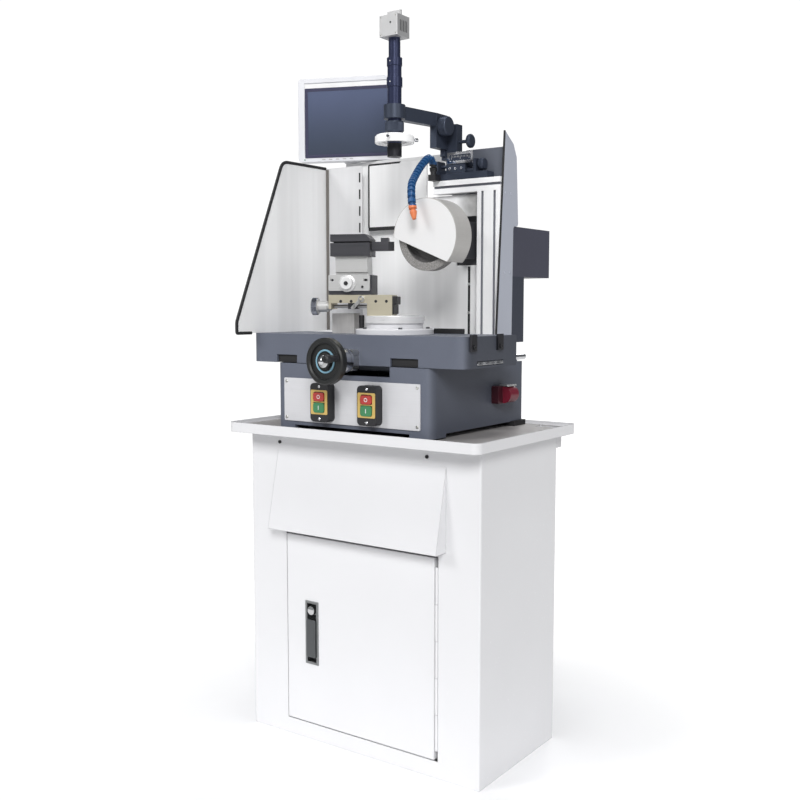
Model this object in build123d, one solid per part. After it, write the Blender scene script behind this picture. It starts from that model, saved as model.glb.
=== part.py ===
"""Profile grinder for lathe tools, on a sheet cabinet with a chip tray.

Millimetres. The origin is on the floor under the middle of the cabinet: X to the right, Y to the back, Z up.
"""
from build123d import *
from math import cos, radians, sin, sqrt
import os

# Fits
RUN = 0.05       # radial clearance of a shaft that turns
THREAD = 0.3     # radial clearance of a screw in its nut
SLIP = 0.3       # clearance of sliding guides
SEAT = 0.02      # clearance of a shaft fixed in its hub
CUT = 1.0        # how far a cutting body runs past the face it opens

# Cabinet
CABINET_WIDTH = 640.0
CABINET_DEPTH = 340.0
CABINET_HEIGHT = 735.0
SHEET = 2.0
CABINET_FOLD = 4.0
TOP_FLANGE = 40.0
ANCHOR_RADIUS = 6.0
ANCHOR_INSET = 45.0
APRON_WIDTH = 470.0
APRON_TOP = 683.0
APRON_BOTTOM = 506.0
APRON_REACH = 38.0
APRON_UNDERCUT = 6.0
JAMB = 24.0

# Cabinet door with its hinge and latch
DOOR_WIDTH = 416.0
DOOR_HEIGHT = 445.0
DOOR_BOTTOM = 41.0
DOOR_DEPTH = 18.0
DOOR_PROUD = 2.0
DOOR_GAP = 3.0
HINGE_GAP = 8.0
HINGE_RADIUS = 3.2
HINGE_PIN_RADIUS = 1.6
HINGE_LEAF = 1.6
HINGE_END = 20.0
HINGE_KNUCKLES = 5
LATCH_X = -133.0
LATCH_Z = 259.0
LATCH_WIDTH = 38.0
LATCH_HEIGHT = 150.0
LATCH_RIM = 3.0
LATCH_DEPTH = 22.0
LEVER_WIDTH = 26.0
LEVER_THICKNESS = 11.0
LEVER_TOP = 32.0
LEVER_PIVOT = -50.0
LEVER_HEEL = 8.0
LEVER_PROUD = 3.0
LEVER_CORNER = 4.0
LATCH_PIN_RADIUS = 2.5
LATCH_BUTTON_RADIUS = 10.0
LATCH_BUTTON_Z = 54.0

# Chip tray and coolant
TRAY_WIDTH = 690.0
TRAY_DEPTH = 446.0
TRAY_Y = -2.0
TRAY_SHEET = 3.0
TRAY_LIP = 8.0
TRAY_SKIRT = 12.0
TRAY_CORNER = 18.0
DRAIN_INSET = 35.0
DRAIN_BOX = (56.0, 35.0, 45.0)
DRAIN_PIPE_RADIUS = 12.0
DRAIN_PIPE_WALL = 2.0
DRAIN_PIPE_INSET = 32.0
DRAIN_PIPE_BEND = 20.0
DRAIN_PIPE_DIP = 20.0
TANK_WIDTH = 290.0
TANK_HEIGHT = 230.0
TANK_WALL = 3.0
TANK_GAP = 13.0
TANK_FRONT_GAP = 48.0
PUMP_RADIUS = 48.0
PUMP_HEIGHT = 150.0
PUMP_CROWN = 10.0
PUMP_FLANGE = 12.0
PUMP_FLANGE_HEIGHT = 8.0
PUMP_STEM_RADIUS = 25.0
PUMP_STEM_LENGTH = 180.0

# Machine base
BASE_WIDTH = 430.0
BASE_DEPTH = 390.0
BASE_FRONT = -196.0
BASE_HEIGHT = 151.0
BASE_WALL = 12.0
BASE_CORNER = 22.0
BASE_REAR_CORNER = 4.0
BASE_ARCH = 8.0
FOOT_WIDTH = 56.0
FRONT_PAD = 3.0
REAR_PAD = 12.0
PAD_PROUD = 6.0
PAD_INSET = 6.0
PAD_EDGE = 4.0
NOTCH = (-30.0, 108.0)
NOTCH_DEPTH = 46.0
NOTCH_HEIGHT = 22.0
PANEL_WIDTH = 376.0
PANEL_BOTTOM = 20.0
PANEL_HEIGHT = 98.0
PANEL_SHEET = 3.0
PANEL_CORNER = 3.0
SWITCH_SPACING = 131.0
SWITCH_WIDTH = 51.0
SWITCH_HEIGHT = 86.0
SWITCH_DEPTH = 23.0
SWITCH_BOTTOM = 25.0
SWITCH_EAR = 10.0
BUTTON_WIDTH = 30.0
BUTTON_PROUD = 3.0
BUTTON_DEPTH = 12.0
BUTTON_TRAVEL = 2.0
BUTTON_CORNER = 6.0
STOP_HEIGHT = 19.0
STOP_Z = 56.0
START_HEIGHT = 22.0
START_Z = 32.0
INLET_Y = 59.0
INLET_Z = 80.0
INLET_BASE = (18.0, 20.0, 40.0)
INLET_CORNER = 4.0
INLET_RADIUS = 19.0
INLET_STANDOFF = 1.0
INLET_WALL = 3.0
INLET_LENGTH = 38.0
INLET_PINS = 4
INLET_PIN_RADIUS = 2.5
INLET_PIN_RECESS = 12.0

# Slideways and saddle
WAY_HALF_WIDTH = 121.0
WAY_UNDERCUT = 10.0
WAY_HEIGHT = 26.0
WAY_WIDTH = 36.0
WAY = (-155.0, 40.0)
SADDLE_WIDTH = 592.0
SADDLE_DEPTH = 210.0
SADDLE_FRONT = -194.0
SADDLE_HEIGHT = 66.0
SADDLE_LIFT = 1.0
SADDLE_PLATE = 14.0
SADDLE_WALL = 10.0
SADDLE_CORNER = 30.0
SADDLE_RIB = 150.0
SADDLE_CAVITY = 60.0
SKIRT_NOTCH_HEIGHT = 18.0
SKIRT_NOTCHES = ((-214.0, -153.0), (108.0, 180.0))
SIDE_SLOT = (-150.0, -40.0)
SIDE_SLOT_HEIGHT = 10.0
SIDE_SLOT_LIFT = 5.0
STOP_BLOCK_X = (-114.0, -50.0)
STOP_BLOCK_Y = (-115.0, -93.0)
STOP_BLOCK_HEIGHT = 46.0
CLIP_YS = (-168.0, -60.0)
CLIP = (5.0, 22.0, 30.0)
CLIP_LIFT = 4.0
SPOUT_X = 280.0
SPOUT_RADIUS = 6.5
SPOUT_LENGTH = 62.0

# Table feed
FEED_X = 4.0
FEED_LIFT = 13.0
FEED_SCREW_RADIUS = 8.0
FEED_SCREW_END = -55.0
FEED_NUT = (44.0, 40.0, 24.0)
FEED_NUT_Y = -90.0
BRACKET = (40.0, 22.0, 46.0)
BRACKET_CHAMFER = 4.0
FEED_HOLE_CLEAR = 1.0
WHEEL_GAP = 54.0
HANDWHEEL_RADIUS = 50.0
HANDWHEEL_RIM = 12.0
HANDWHEEL_DEPTH = 20.0
HANDWHEEL_HUB_RADIUS = 17.0
HANDWHEEL_WEB = 6.0
HANDWHEEL_DISH = 7.0
HANDWHEEL_BEVEL = 3.0
HUB_PROUD = 6.0
DIAL_RADIUS = 27.0
DIAL_BEVEL = 4.0
DIAL_CONE = 9.5
DIAL_GAP = 0.5
DIAL_CLEAR = 4.0
CAP_RIM = 3.0
CAP_NECK = 1.0
CAP_STEPS = (3.0, 7.0, 8.0)
CRANK_ARM = 38.0
CRANK_ANGLE = 12.0
CRANK_STUD_RADIUS = 4.0
CRANK_LENGTH = 44.0
CRANK_RADIUS = 9.5
CRANK_PLAY = 1.0
CRANK_ROUND = 5.0
CRANK_FOOT = 7.0
STUD_PROUD = 2.0

# Splash guard, as a side wall with a return at the back
GUARD_SHEET = 2.0
GUARD_FRONT = -243.0
GUARD_LOW = 26.0
GUARD_TOP_FRONT = -80.0
GUARD_BACK = 85.0
GUARD_HEIGHT = 408.0
GUARD_RETURN = 116.0
GUARD_CORNER = 28.0
GUARD_SLOT = (5.0, 24.0)
GUARD_SLOTS = 4
GUARD_SLOT_START = 0.6
GUARD_SLOT_PITCH = 1.7

# Rotary table, on the line of the lens
AXIS_X = 38.0
AXIS_Y = -80.0
FLANGE_RADIUS = 88.0
FLANGE_HEIGHT = 12.0
NECK_RADIUS = 64.0
NECK_HEIGHT = 12.0
SPIGOT_RADIUS = 30.0
SPIGOT_LENGTH = 18.0
SPIGOT_CLEAR = 2.0
FLANGE_BEVEL = 2.0
ROTARY_RADIUS = 68.0
ROTARY_HEIGHT = 17.0
ROTARY_BEVEL = 1.5
CLAMP_POST_RADIUS = 6.0
CLAMP_POST_HEIGHT = 30.0
CLAMP_POST_ANGLE = 197.0
CLAMP_POST_EDGE = 3.0

# Work holder slides, as sizes before the holder is swung about the rotary table's axis
WORK_TURN = 25.0
BED_LEFT = -101.0
BED_RIGHT = 38.0
BED_SPLIT = -19.0
BED_WIDTH = 60.0
BED_HEIGHT = 46.0
RAIL_WIDTH = 15.0
RAIL_HEIGHT = 18.0
BED_END = 6.0
BED_END_DROP = 31.5
SLIDE_SCREW_RADIUS = 4.0
SLIDE_SCREW_DROP = 25.5
SLIDE_SCREW_SEAT = 15.0
KNOB_RADIUS = 18.6
KNOB_LENGTH = 16.0
KNOB_SHANK = 9.0
KNOB_SHANK_RADIUS = 9.0
KNOB_NECK = 21.0
KNOB_NECK_RADIUS = 12.5
KNOB_BEVEL = 2.0
LEVER_HUB_X = -31.0
LEVER_HUB_RADIUS = 7.0
CLAMP_PIN_RADIUS = 3.0
CLAMP_PIN_PROUD = 2.0
CLAMP_LENGTH = 31.0
CLAMP_ANGLE = 225.0
CLAMP_THICKNESS = 7.0
CLAMP_BAR = 7.0
CLAMP_CORNER = 3.0
LOWER_LEFT = -105.5
LOWER_RIGHT = -8.0
LOWER_BACK = -46.0
LOWER_HEIGHT = 13.0
LOWER_CHEEK = 9.0
LOWER_CHEEK_HEIGHT = 31.0
LOWER_CHEEK_SETBACK = 4.0
NUT_X = (-66.0, -46.0)
NUT_CLEAR = 1.0
RIDGE_X = -55.5
RIDGE_HALF_WIDTH = 17.0
RIDGE_UNDERCUT = 5.0
RIDGE_HEIGHT = 6.0
RIDGE_ENDS = (6.0, 2.0)
PLATE_WIDTH = 94.0
PLATE_HEIGHT = 35.5
PLATE_THICKNESS = 6.0
PLATE_DROP = 4.3
PLATE_CORNER = 3.0
PLATE_SLOT = (9.0, 5.5)
PLATE_SLOT_LIFT = 7.5
DIAL_X = -62.0
DIAL_LIFT = 12.0
DIAL_KNOB_RADIUS = 18.7
DIAL_KNOB_DEPTH = 15.0
DIAL_SHAFT_RADIUS = 4.0
DIAL_SHAFT_SHORT = 8.0
DIAL_GRIP_RADIUS = 13.0
DIAL_FLANGE = (5.0, 6.0)
DIAL_GRIP_FOOT = 15.0
CROSS_X = (-92.0, -19.0)
CROSS_Y = (-98.0, -50.0)
CROSS_HEIGHT = 37.0
RISER_HEIGHT = 35.0
RISER_LEAN = 1.0
RISER_OVERHANG = (4.0, 2.0)
HOLDER_X = (-102.0, -12.0)
HOLDER_WIDTH = 64.0
HOLDER_HEIGHT = 48.0
HOLDER_CHAMFER = 10.0
HOLDER_PIVOT_X = -56.0
HOLDER_SPIGOT_RADIUS = 15.0
HOLDER_SPIGOT = 12.0
HOLDER_SLIT = 3.0
TOOL_SIZE = 20.0
TOOL_LIFT = 12.0
TOOL_CLEAR = 0.2
TOOL_TAIL = -84.0
TOOL_SLOT_END = 4.0
TOOL_TIP = 37.0
TOOL_POINT = 12.0
TOOL_NOSE = 4.0
TOOL_CLAMP_X = (8.0, 25.0)
TOOL_CLAMP_HEIGHT = 9.0
TOOL_CLAMP_INSET = 2.0

# Grinding head
SPINDLE_X = 128.0
SPINDLE_LIFT = 281.0
COLUMN_X = (48.0, 208.0)
COLUMN_Y = (116.0, 160.0)
COLUMN_HEIGHT = 386.0
COLUMN_FOOT = 16.0
COLUMN_FOOT_BACK = 20.0
WINDOW_HALF_WIDTH = 50.0
WINDOW_Z = (191.0, 376.0)
TONGUE = 8.0
TONGUE_WIDTH = 20.0
HEAD_CLEAR = 1.0
HEAD_HALF_HEIGHT = 60.0
HEAD_NECK_X = (-46.0, 6.0)
HEAD_NECK_HALF_HEIGHT = 42.0
HEAD_NECK_FRONT = 30.0
HOUSING_RADIUS = 44.0
HOUSING_FRONT = 10.0
NOSE_RADIUS = 31.0
SPINDLE_RADIUS = 12.0
SPINDLE_TAIL = 24.0
SPINDLE_TAIL_CLEAR = 2.0
WHEEL_RADIUS = 75.0
WHEEL_RIM_WIDTH = 18.0
WHEEL_FRONT = -84.0
WHEEL_DEPTH = 34.0
WHEEL_WEB = 10.0
WHEEL_FILLET = (6.0, 8.0)
WHEEL_BACK_TAPER = (14.0, 12.0)
CLAMP_FLANGE_RADIUS = 24.0
CLAMP_FLANGE = 7.0
SPINDLE_NUT_RADIUS = 14.0
SPINDLE_NUT = 14.0
SPINDLE_THREAD = 4.0
COVER_RADIUS = 82.0
COVER_WALL = 3.5
COVER_SHEET = 3.0
COVER_FRONT = -95.0
COVER_BACK = -33.0
COVER_CHORD = 31.0
COVER_TILT = 22.0
COVER_BORE_RADIUS = 20.0
PANEL_X = (-200.0, 148.0)
BACK_SHEET = 3.0
BACK_LOW = 11.0
BACK_STEP = 326.0
BACK_TOP = 476.0
BACK_STEP_LEFT = -168.0
BACK_STEP_DEPTH = 15.0
BACK_STEP_LAP = 6.0
BACK_WINDOW = (80.0, 225.0, 337.0)
BEAM_GAP = (26.0, 4.0)
SIDE_X = 215.0
SIDE_SHEET = 3.0
SIDE_OUTLINE = ((66.0, 0.0), (101.0, 524.0), (141.0, 498.0), (156.0, 470.0), (166.0, 313.0), (143.0, 313.0),
                (138.0, 0.0))
SIDE_CORNER = 8.0
SIDE_RETURN_Y = 122.0
SIDE_RETURN_X = 100.0
SIDE_RETURN_TOP = 492.0
REAR_LEFT = 50.0
REAR_WALL = 3.0
REAR_LOW = (45.0, 42.0)
REAR_STEP = 198.0
REAR_TOP = 313.0
REAR_DEPTH = 170.0
REAR_FLANGE = 15.0
STROKE_LIFT = 256.0
STROKE_RADIUS = 42.0
STROKE_LENGTH = 130.0
STROKE_BEVEL = 6.0
STROKE_PLATE = (140.0, 104.0, 6.0)

# Camera frame of grooved aluminium bars
BAR_Y = (85.0, 115.0)
BAR_X = (152.0, 212.0)
BAR_HEIGHT = 391.0
BEAM_LEFT = 31.0
BEAM_HEIGHT = 30.0
GROOVE = 6.0
GROOVE_DEPTH = 6.0
GROOVE_PITCH = 32.0

# Camera stage and focus slide
STAGE_X = (38.0, 176.0)
STAGE_Y = (87.0, 119.0)
STAGE_HEIGHT = 16.0
STAGE_END = 6.0
STAGE_END_RIGHT = 140.0
STAGE_END_HEIGHT = 46.0
STAGE_RIDGE_HALF = 9.0
STAGE_RIDGE_UNDERCUT = 3.0
STAGE_RIDGE = 8.0
CARRIAGE_X = (66.0, 118.0)
CARRIAGE_HEIGHT = 32.0
STAGE_SCREW_RADIUS = 4.0
STAGE_SCREW_LIFT = 34.0
STAGE_KNOB_RADIUS = 12.0
STAGE_KNOB = 14.0
STAGE_KNOB_GAP = 2.0
STAGE_KNOB_BEVEL = 1.0
UPRIGHT_X = (50.0, 92.0)
UPRIGHT_Y = (92.0, 116.0)
UPRIGHT_FOOT = 8.0
UPRIGHT_FOOT_SHORT = 4.0
UPRIGHT_HEIGHT = 80.0
UPRIGHT_TONGUE = 7.0
UPRIGHT_TONGUE_HALF = 4.0
UPRIGHT_TONGUE_UNDERCUT = 2.0
FOCUS_X = (48.0, 66.0)
FOCUS_FRONT = 46.0
FOCUS_LIFT = 23.0
FOCUS_HEIGHT = 78.0
FOCUS_SHAFT_RADIUS = 5.0
FOCUS_SHAFT_Y = 64.0
FOCUS_SHAFT_LIFT = 49.0
FOCUS_KNOB_RADIUS = 21.0
FOCUS_KNOB = 22.0
FOCUS_KNOB_GAP = 2.0
FOCUS_KNOB_ROUND = 2.0
ARM_THICKNESS = 30.0
ARM_WIDTH = 22.0
RING_RADIUS = 24.0
RING_HEIGHT = 30.0
ARM_LAP = 4.0
THUMB_RADIUS = 15.0
THUMB_HEAD = 10.0
THUMB_BEVELS = (1.0, 2.0)
THUMB_SHAFT_RADIUS = 4.0
THUMB_REACH = 25.0
THUMB_SEAT = 14.0
THUMB_LIFT = 40.0

# Lens, ring light and camera, as heights under and over the middle of the clamp ring
TUBE_RADIUS = 15.5
LENS_TIP = -97.0
LENS_TIP_RADIUS = 16.0
LENS_TIP_RIM = 4.0
LENS_TIP_DISH = 3.0
LENS_RADIUS = 17.0
LIGHT_BOTTOM = -68.0
LIGHT_HEIGHT = 18.0
LIGHT_RADIUS = 43.5
LIGHT_RIM = 6.0
LIGHT_EDGE = 1.0
LIGHT_SHOULDER = 4.0
LIGHT_RECESS = (6.0, 3.0)
ZOOM_BOTTOM = -44.0
ZOOM_HEIGHT = 24.0
ZOOM_RADIUS = 20.0
ZOOM_SEAT_RADIUS = 15.0
ZOOM_BEVEL = 1.5
COLLARS = ((54.0, 74.0, 17.5), (99.0, 116.0, 17.0))
TUBE_TOP = 159.0
ADAPTER_RADIUS = 13.0
ADAPTER_HEIGHT = 43.0
CAMERA_SIZE = 48.0
CAMERA_HEIGHT = 45.0
CAMERA_CORNER = 2.0
CAMERA_FIN = (36.0, 4.0, 13.0)

# Monitor on its arm
MONITOR_PIVOT = (-247.5, 135.5)
MONITOR_YAW = 22.0
MONITOR_WIDTH = 257.0
MONITOR_HEIGHT = 205.0
MONITOR_DEPTH = 28.0
MONITOR_REACH = 47.0
MONITOR_CORNER = 8.0
MONITOR_CLEAR = 2.0
SCREEN_WIDTH = 224.0
SCREEN_HEIGHT = 177.0
SCREEN_LIFT = 17.0
SCREEN_RECESS = 2.0
MONITOR_ARM = 24.0
MONITOR_ARM_X = 60.0
MONITOR_ARM_HEIGHT = 103.0
MONITOR_BAR = 16.0
MONITOR_PIN_RADIUS = 8.0
MONITOR_PIN = 20.0
MONITOR_NECK = (32.0, 42.0)

# Coolant hose of ball-and-socket links; its route is given from the beam's left end, front and top
LINK_PITCH = 13.5
LINK_RADIUS = 8.8
LINK_BALL = 6.0
LINK_NECK = 4.6
LINK_BORE = 3.4
LINK_PLAY = 0.25
LINK_LIP = 2.2
LINK_FLARE = 2.4
HOSE_STEM = 2.0
HOSE_BLOCK = (20.0, 23.0, 14.0)
HOSE_ROUTE = (
    (10.0, -14.0, 28.0), (12.0, -19.0, 40.0), (15.0, -34.0, 48.0), (20.0, -56.0, 44.0), (26.0, -81.0, 31.0),
    (34.0, -113.0, 10.0), (45.0, -145.0, -11.0), (61.0, -176.0, -27.0), (75.0, -198.0, -50.0),
    (83.0, -206.0, -74.0), (88.0, -208.0, -92.0),
)
HOSE_TIP_LINKS = 6
NOZZLE_LENGTH = 26.0
NOZZLE_TIP_RADIUS = 4.2
NOZZLE_WALL = 1.6
NOZZLE_STEPS = (5.4, 8.0, 11.0)
NOZZLE_SHOULDER = 7.8

# Heights and places that follow from the sizes above
HALF_WIDTH = CABINET_WIDTH / 2
HALF_DEPTH = CABINET_DEPTH / 2
DRAIN_X = HALF_WIDTH - DRAIN_INSET
DOOR_LEFT = -DOOR_WIDTH / 2
DOOR_RIGHT = DOOR_WIDTH / 2
DOOR_TOP = DOOR_BOTTOM + DOOR_HEIGHT
DOOR_FACE = -HALF_DEPTH - DOOR_PROUD
DOOR_REAR = DOOR_FACE + DOOR_DEPTH
HINGE_X = DOOR_RIGHT + HINGE_GAP / 2
HINGE_Y = DOOR_FACE + HINGE_RADIUS
LATCH_FACE = DOOR_FACE - SHEET
LEVER_FACE = LATCH_FACE - LEVER_PROUD
LEVER_PIVOT_Y = LEVER_FACE + LEVER_THICKNESS / 2
TRAY_FLOOR = CABINET_HEIGHT + TRAY_SHEET
BASE_TOP = TRAY_FLOOR + BASE_HEIGHT
BASE_BACK = BASE_FRONT + BASE_DEPTH
PANEL_FACE = BASE_FRONT - PANEL_SHEET
SWITCH_FACE = PANEL_FACE - SWITCH_DEPTH
SADDLE_BOTTOM = BASE_TOP + SADDLE_LIFT
SADDLE_TOP = SADDLE_BOTTOM + SADDLE_HEIGHT
SADDLE_BACK = SADDLE_FRONT + SADDLE_DEPTH
SADDLE_END = SADDLE_WIDTH / 2
FEED_Z = BASE_TOP + FEED_LIFT
BRACKET_FRONT = SADDLE_FRONT - BRACKET[1]
HANDWHEEL_BACK = BRACKET_FRONT - WHEEL_GAP
HANDWHEEL_FRONT = HANDWHEEL_BACK - HANDWHEEL_DEPTH
CRANK_X = FEED_X + CRANK_ARM * cos(radians(CRANK_ANGLE))
CRANK_Z = FEED_Z + CRANK_ARM * sin(radians(CRANK_ANGLE))
ROTARY_BOTTOM = SADDLE_TOP + FLANGE_HEIGHT + NECK_HEIGHT + SLIP
BED_BOTTOM = ROTARY_BOTTOM + ROTARY_HEIGHT
BED_TOP = BED_BOTTOM + BED_HEIGHT
BED_FRONT = AXIS_Y - BED_WIDTH / 2
BED_BACK = AXIS_Y + BED_WIDTH / 2
SLIDE_SCREW_Z = BED_TOP - SLIDE_SCREW_DROP
LOWER_BOTTOM = BED_TOP + SLIP
LOWER_TOP = LOWER_BOTTOM + LOWER_HEIGHT
PLATE_FRONT = BED_FRONT - PLATE_THICKNESS
PLATE_BOTTOM = LOWER_TOP - PLATE_DROP
DIAL_Z = LOWER_TOP + DIAL_LIFT
CROSS_BOTTOM = LOWER_TOP + SLIP
RISER_BOTTOM = CROSS_BOTTOM + CROSS_HEIGHT
RISER_TOP = RISER_BOTTOM + RISER_HEIGHT
HOLDER_BOTTOM = RISER_TOP + SLIP
HOLDER_TOP = HOLDER_BOTTOM + HOLDER_HEIGHT
TOOL_BOTTOM = HOLDER_BOTTOM + TOOL_LIFT
TOOL_TOP = TOOL_BOTTOM + TOOL_SIZE
SPINDLE_Z = BASE_TOP + SPINDLE_LIFT
COLUMN_TOP = BASE_TOP + COLUMN_HEIGHT
BAR_TOP = BASE_TOP + BAR_HEIGHT
BEAM_TOP = BAR_TOP + BEAM_HEIGHT
STAGE_TOP = BEAM_TOP + STAGE_HEIGHT
STAGE_SCREW_Z = BEAM_TOP + STAGE_SCREW_LIFT
STAGE_MID_Y = (STAGE_Y[0] + STAGE_Y[1]) / 2
CARRIAGE_BOTTOM = STAGE_TOP + SLIP
CARRIAGE_TOP = CARRIAGE_BOTTOM + CARRIAGE_HEIGHT
UPRIGHT_TOP = CARRIAGE_TOP + UPRIGHT_HEIGHT
UPRIGHT_MID_X = (FOCUS_X[0] + FOCUS_X[1]) / 2
FOCUS_BOTTOM = CARRIAGE_TOP + FOCUS_LIFT
FOCUS_TOP = FOCUS_BOTTOM + FOCUS_HEIGHT
FOCUS_BACK = UPRIGHT_Y[0] - SLIP
FOCUS_SHAFT_Z = FOCUS_BOTTOM + FOCUS_SHAFT_LIFT
RING_Z = FOCUS_TOP - ARM_THICKNESS / 2
CAMERA_BOTTOM = RING_Z + TUBE_TOP
MONITOR_BAR_TOP = COLUMN_TOP + MONITOR_ARM_HEIGHT
MONITOR_BOTTOM = MONITOR_BAR_TOP + MONITOR_CLEAR


def block(x, y, z):
    """A box between two values on each axis."""
    size = Box(x[1] - x[0], y[1] - y[0], z[1] - z[0])
    return Pos(sum(x) / 2, sum(y) / 2, sum(z) / 2) * size


def rod_x(radius, x, y, z):
    """A round bar along X, between two values of x."""
    return Pos(sum(x) / 2, y, z) * Rot(0, 90, 0) * Cylinder(radius, x[1] - x[0])


def rod_y(radius, x, y, z):
    """A round bar along Y, between two values of y."""
    return Pos(x, sum(y) / 2, z) * Rot(90, 0, 0) * Cylinder(radius, y[1] - y[0])


def rod_z(radius, x, y, z):
    """A round bar along Z, between two values of z."""
    return Pos(x, y, sum(z) / 2) * Cylinder(radius, z[1] - z[0])


def slab_x(points, x):
    """A plate between two values of x, with its outline given as (y, z)."""
    face = Plane.YZ.offset(x[0]) * make_face(Polyline(*points, close=True))
    return extrude(face, x[1] - x[0])


def slab_y(points, y):
    """A plate between two values of y, with its outline given as (x, z)."""
    face = Plane.XZ.offset(-y[1]) * make_face(Polyline(*points, close=True))
    return extrude(face, y[1] - y[0])


def slab_z(points, z):
    """A plate between two values of z, with its outline given as (x, y)."""
    face = Plane.XY.offset(z[0]) * make_face(Polyline(*points, close=True))
    return extrude(face, z[1] - z[0])


def turned(points, origin, direction):
    """A turned piece: its half outline is given as (radius, distance along the direction)."""
    face = Plane.XZ * make_face(Polyline(*points, close=True))
    return Plane(origin=origin, z_dir=direction) * revolve(face, Axis.Z)


def upright_edges(shape, x=None, y=None):
    """The edges along Z, only those on the given sides where a side is given as -1 or 1."""
    edges = shape.edges().filter_by(Axis.Z)
    centre = shape.bounding_box().center()
    if x:
        edges = edges.filter_by(lambda edge: (edge.center().X - centre.X) * x > 0)
    if y:
        edges = edges.filter_by(lambda edge: (edge.center().Y - centre.Y) * y > 0)
    return edges


def around(centre, width):
    """The two ends of a width about its middle."""
    return (centre - width / 2, centre + width / 2)


def cabinet_shell():
    """Folded sheet box with a door opening, an anchored floor and a sloped apron above the door."""
    opening_x = (DOOR_LEFT - DOOR_GAP, DOOR_RIGHT + HINGE_GAP)
    opening_z = (DOOR_BOTTOM - DOOR_GAP, DOOR_TOP + DOOR_GAP)
    outer = block((-HALF_WIDTH, HALF_WIDTH), (-HALF_DEPTH, HALF_DEPTH), (0, CABINET_HEIGHT))
    outer = fillet(upright_edges(outer), CABINET_FOLD)
    inner = block((-HALF_WIDTH + SHEET, HALF_WIDTH - SHEET), (-HALF_DEPTH + SHEET, HALF_DEPTH - SHEET),
                  (SHEET, CABINET_HEIGHT - SHEET))
    inner = fillet(upright_edges(inner), CABINET_FOLD - SHEET)
    top = block((-HALF_WIDTH + TOP_FLANGE, HALF_WIDTH - TOP_FLANGE),
                (-HALF_DEPTH + TOP_FLANGE, HALF_DEPTH - TOP_FLANGE),
                (CABINET_HEIGHT / 2, CABINET_HEIGHT + CUT))
    opening = block(opening_x, (-HALF_DEPTH - CUT, -HALF_DEPTH + SHEET + CUT), opening_z)
    jamb = block((opening_x[1], opening_x[1] + SHEET), (-HALF_DEPTH, -HALF_DEPTH + JAMB), opening_z)
    outline = make_face(Polyline(
        (-HALF_DEPTH, APRON_TOP), (-HALF_DEPTH - APRON_REACH, APRON_BOTTOM),
        (-HALF_DEPTH - APRON_REACH, APRON_BOTTOM - APRON_UNDERCUT),
        (-HALF_DEPTH, APRON_BOTTOM - APRON_UNDERCUT), close=True))
    apron = extrude(Plane.YZ.offset(-APRON_WIDTH / 2) * outline, APRON_WIDTH)
    hollow = Plane.YZ.offset(SHEET - APRON_WIDTH / 2) * offset(outline, -SHEET)
    hollow = extrude(hollow, APRON_WIDTH - 2 * SHEET)
    behind = block((-APRON_WIDTH / 2 + TOP_FLANGE, APRON_WIDTH / 2 - TOP_FLANGE),
                   (-HALF_DEPTH - 2 * SHEET, -HALF_DEPTH + 2 * SHEET),
                   (APRON_BOTTOM + SHEET, APRON_TOP - TOP_FLANGE))
    shell = outer - inner - top - opening + jamb + apron - hollow - behind
    for x in (-HALF_WIDTH + ANCHOR_INSET, HALF_WIDTH - ANCHOR_INSET):
        for y in (-HALF_DEPTH + ANCHOR_INSET, HALF_DEPTH - ANCHOR_INSET):
            shell -= rod_z(ANCHOR_RADIUS, x, y, (-CUT, SHEET + CUT))
    drain = rod_y(DRAIN_PIPE_RADIUS + SLIP, DRAIN_X, around(HALF_DEPTH, 4 * SHEET), drain_pipe_z())
    return shell - drain


def knuckle_spans(first):
    """The z spans of every second hinge knuckle."""
    length = (DOOR_HEIGHT - 2 * HINGE_END) / HINGE_KNUCKLES
    start = DOOR_BOTTOM + HINGE_END
    return [(start + i * length + SLIP / 2, start + (i + 1) * length - SLIP / 2)
            for i in range(first, HINGE_KNUCKLES, 2)]


def door_hinge():
    """Fixed leaf with its knuckles and the pin through the whole hinge."""
    edge = DOOR_RIGHT + HINGE_GAP
    span = (DOOR_BOTTOM + HINGE_END, DOOR_TOP - HINGE_END)
    clear = HINGE_Y + HINGE_RADIUS + HINGE_LEAF
    leaf = block((edge - HINGE_LEAF, edge), (clear, -HALF_DEPTH + JAMB), span)
    hinge = leaf + rod_z(HINGE_PIN_RADIUS, HINGE_X, HINGE_Y, span)
    for z in knuckle_spans(0):
        hinge += rod_z(HINGE_RADIUS, HINGE_X, HINGE_Y, z)
        hinge += block((HINGE_X, edge), (HINGE_Y, clear + HINGE_LEAF), z)
    return hinge


def cabinet_door():
    """Door pan with its own hinge knuckles and a cut-out for the latch."""
    door = block((DOOR_LEFT, DOOR_RIGHT), (DOOR_FACE, DOOR_REAR), (DOOR_BOTTOM, DOOR_TOP))
    door -= block((DOOR_LEFT + SHEET, DOOR_RIGHT - SHEET), (DOOR_FACE + SHEET, DOOR_REAR + CUT),
                  (DOOR_BOTTOM + SHEET, DOOR_TOP - SHEET))
    door -= block(around(LATCH_X, LATCH_WIDTH - 2 * LATCH_RIM), (DOOR_FACE - CUT, DOOR_FACE + SHEET + CUT),
                  around(LATCH_Z, LATCH_HEIGHT - 2 * LATCH_RIM))
    for z in knuckle_spans(1):
        door += rod_z(HINGE_RADIUS, HINGE_X, HINGE_Y, z)
        door += block((DOOR_RIGHT - SHEET, HINGE_X), around(HINGE_Y, HINGE_RADIUS), z)
        door -= rod_z(HINGE_PIN_RADIUS + RUN, HINGE_X, HINGE_Y, (z[0] - CUT, z[1] + CUT))
    return door


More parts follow.
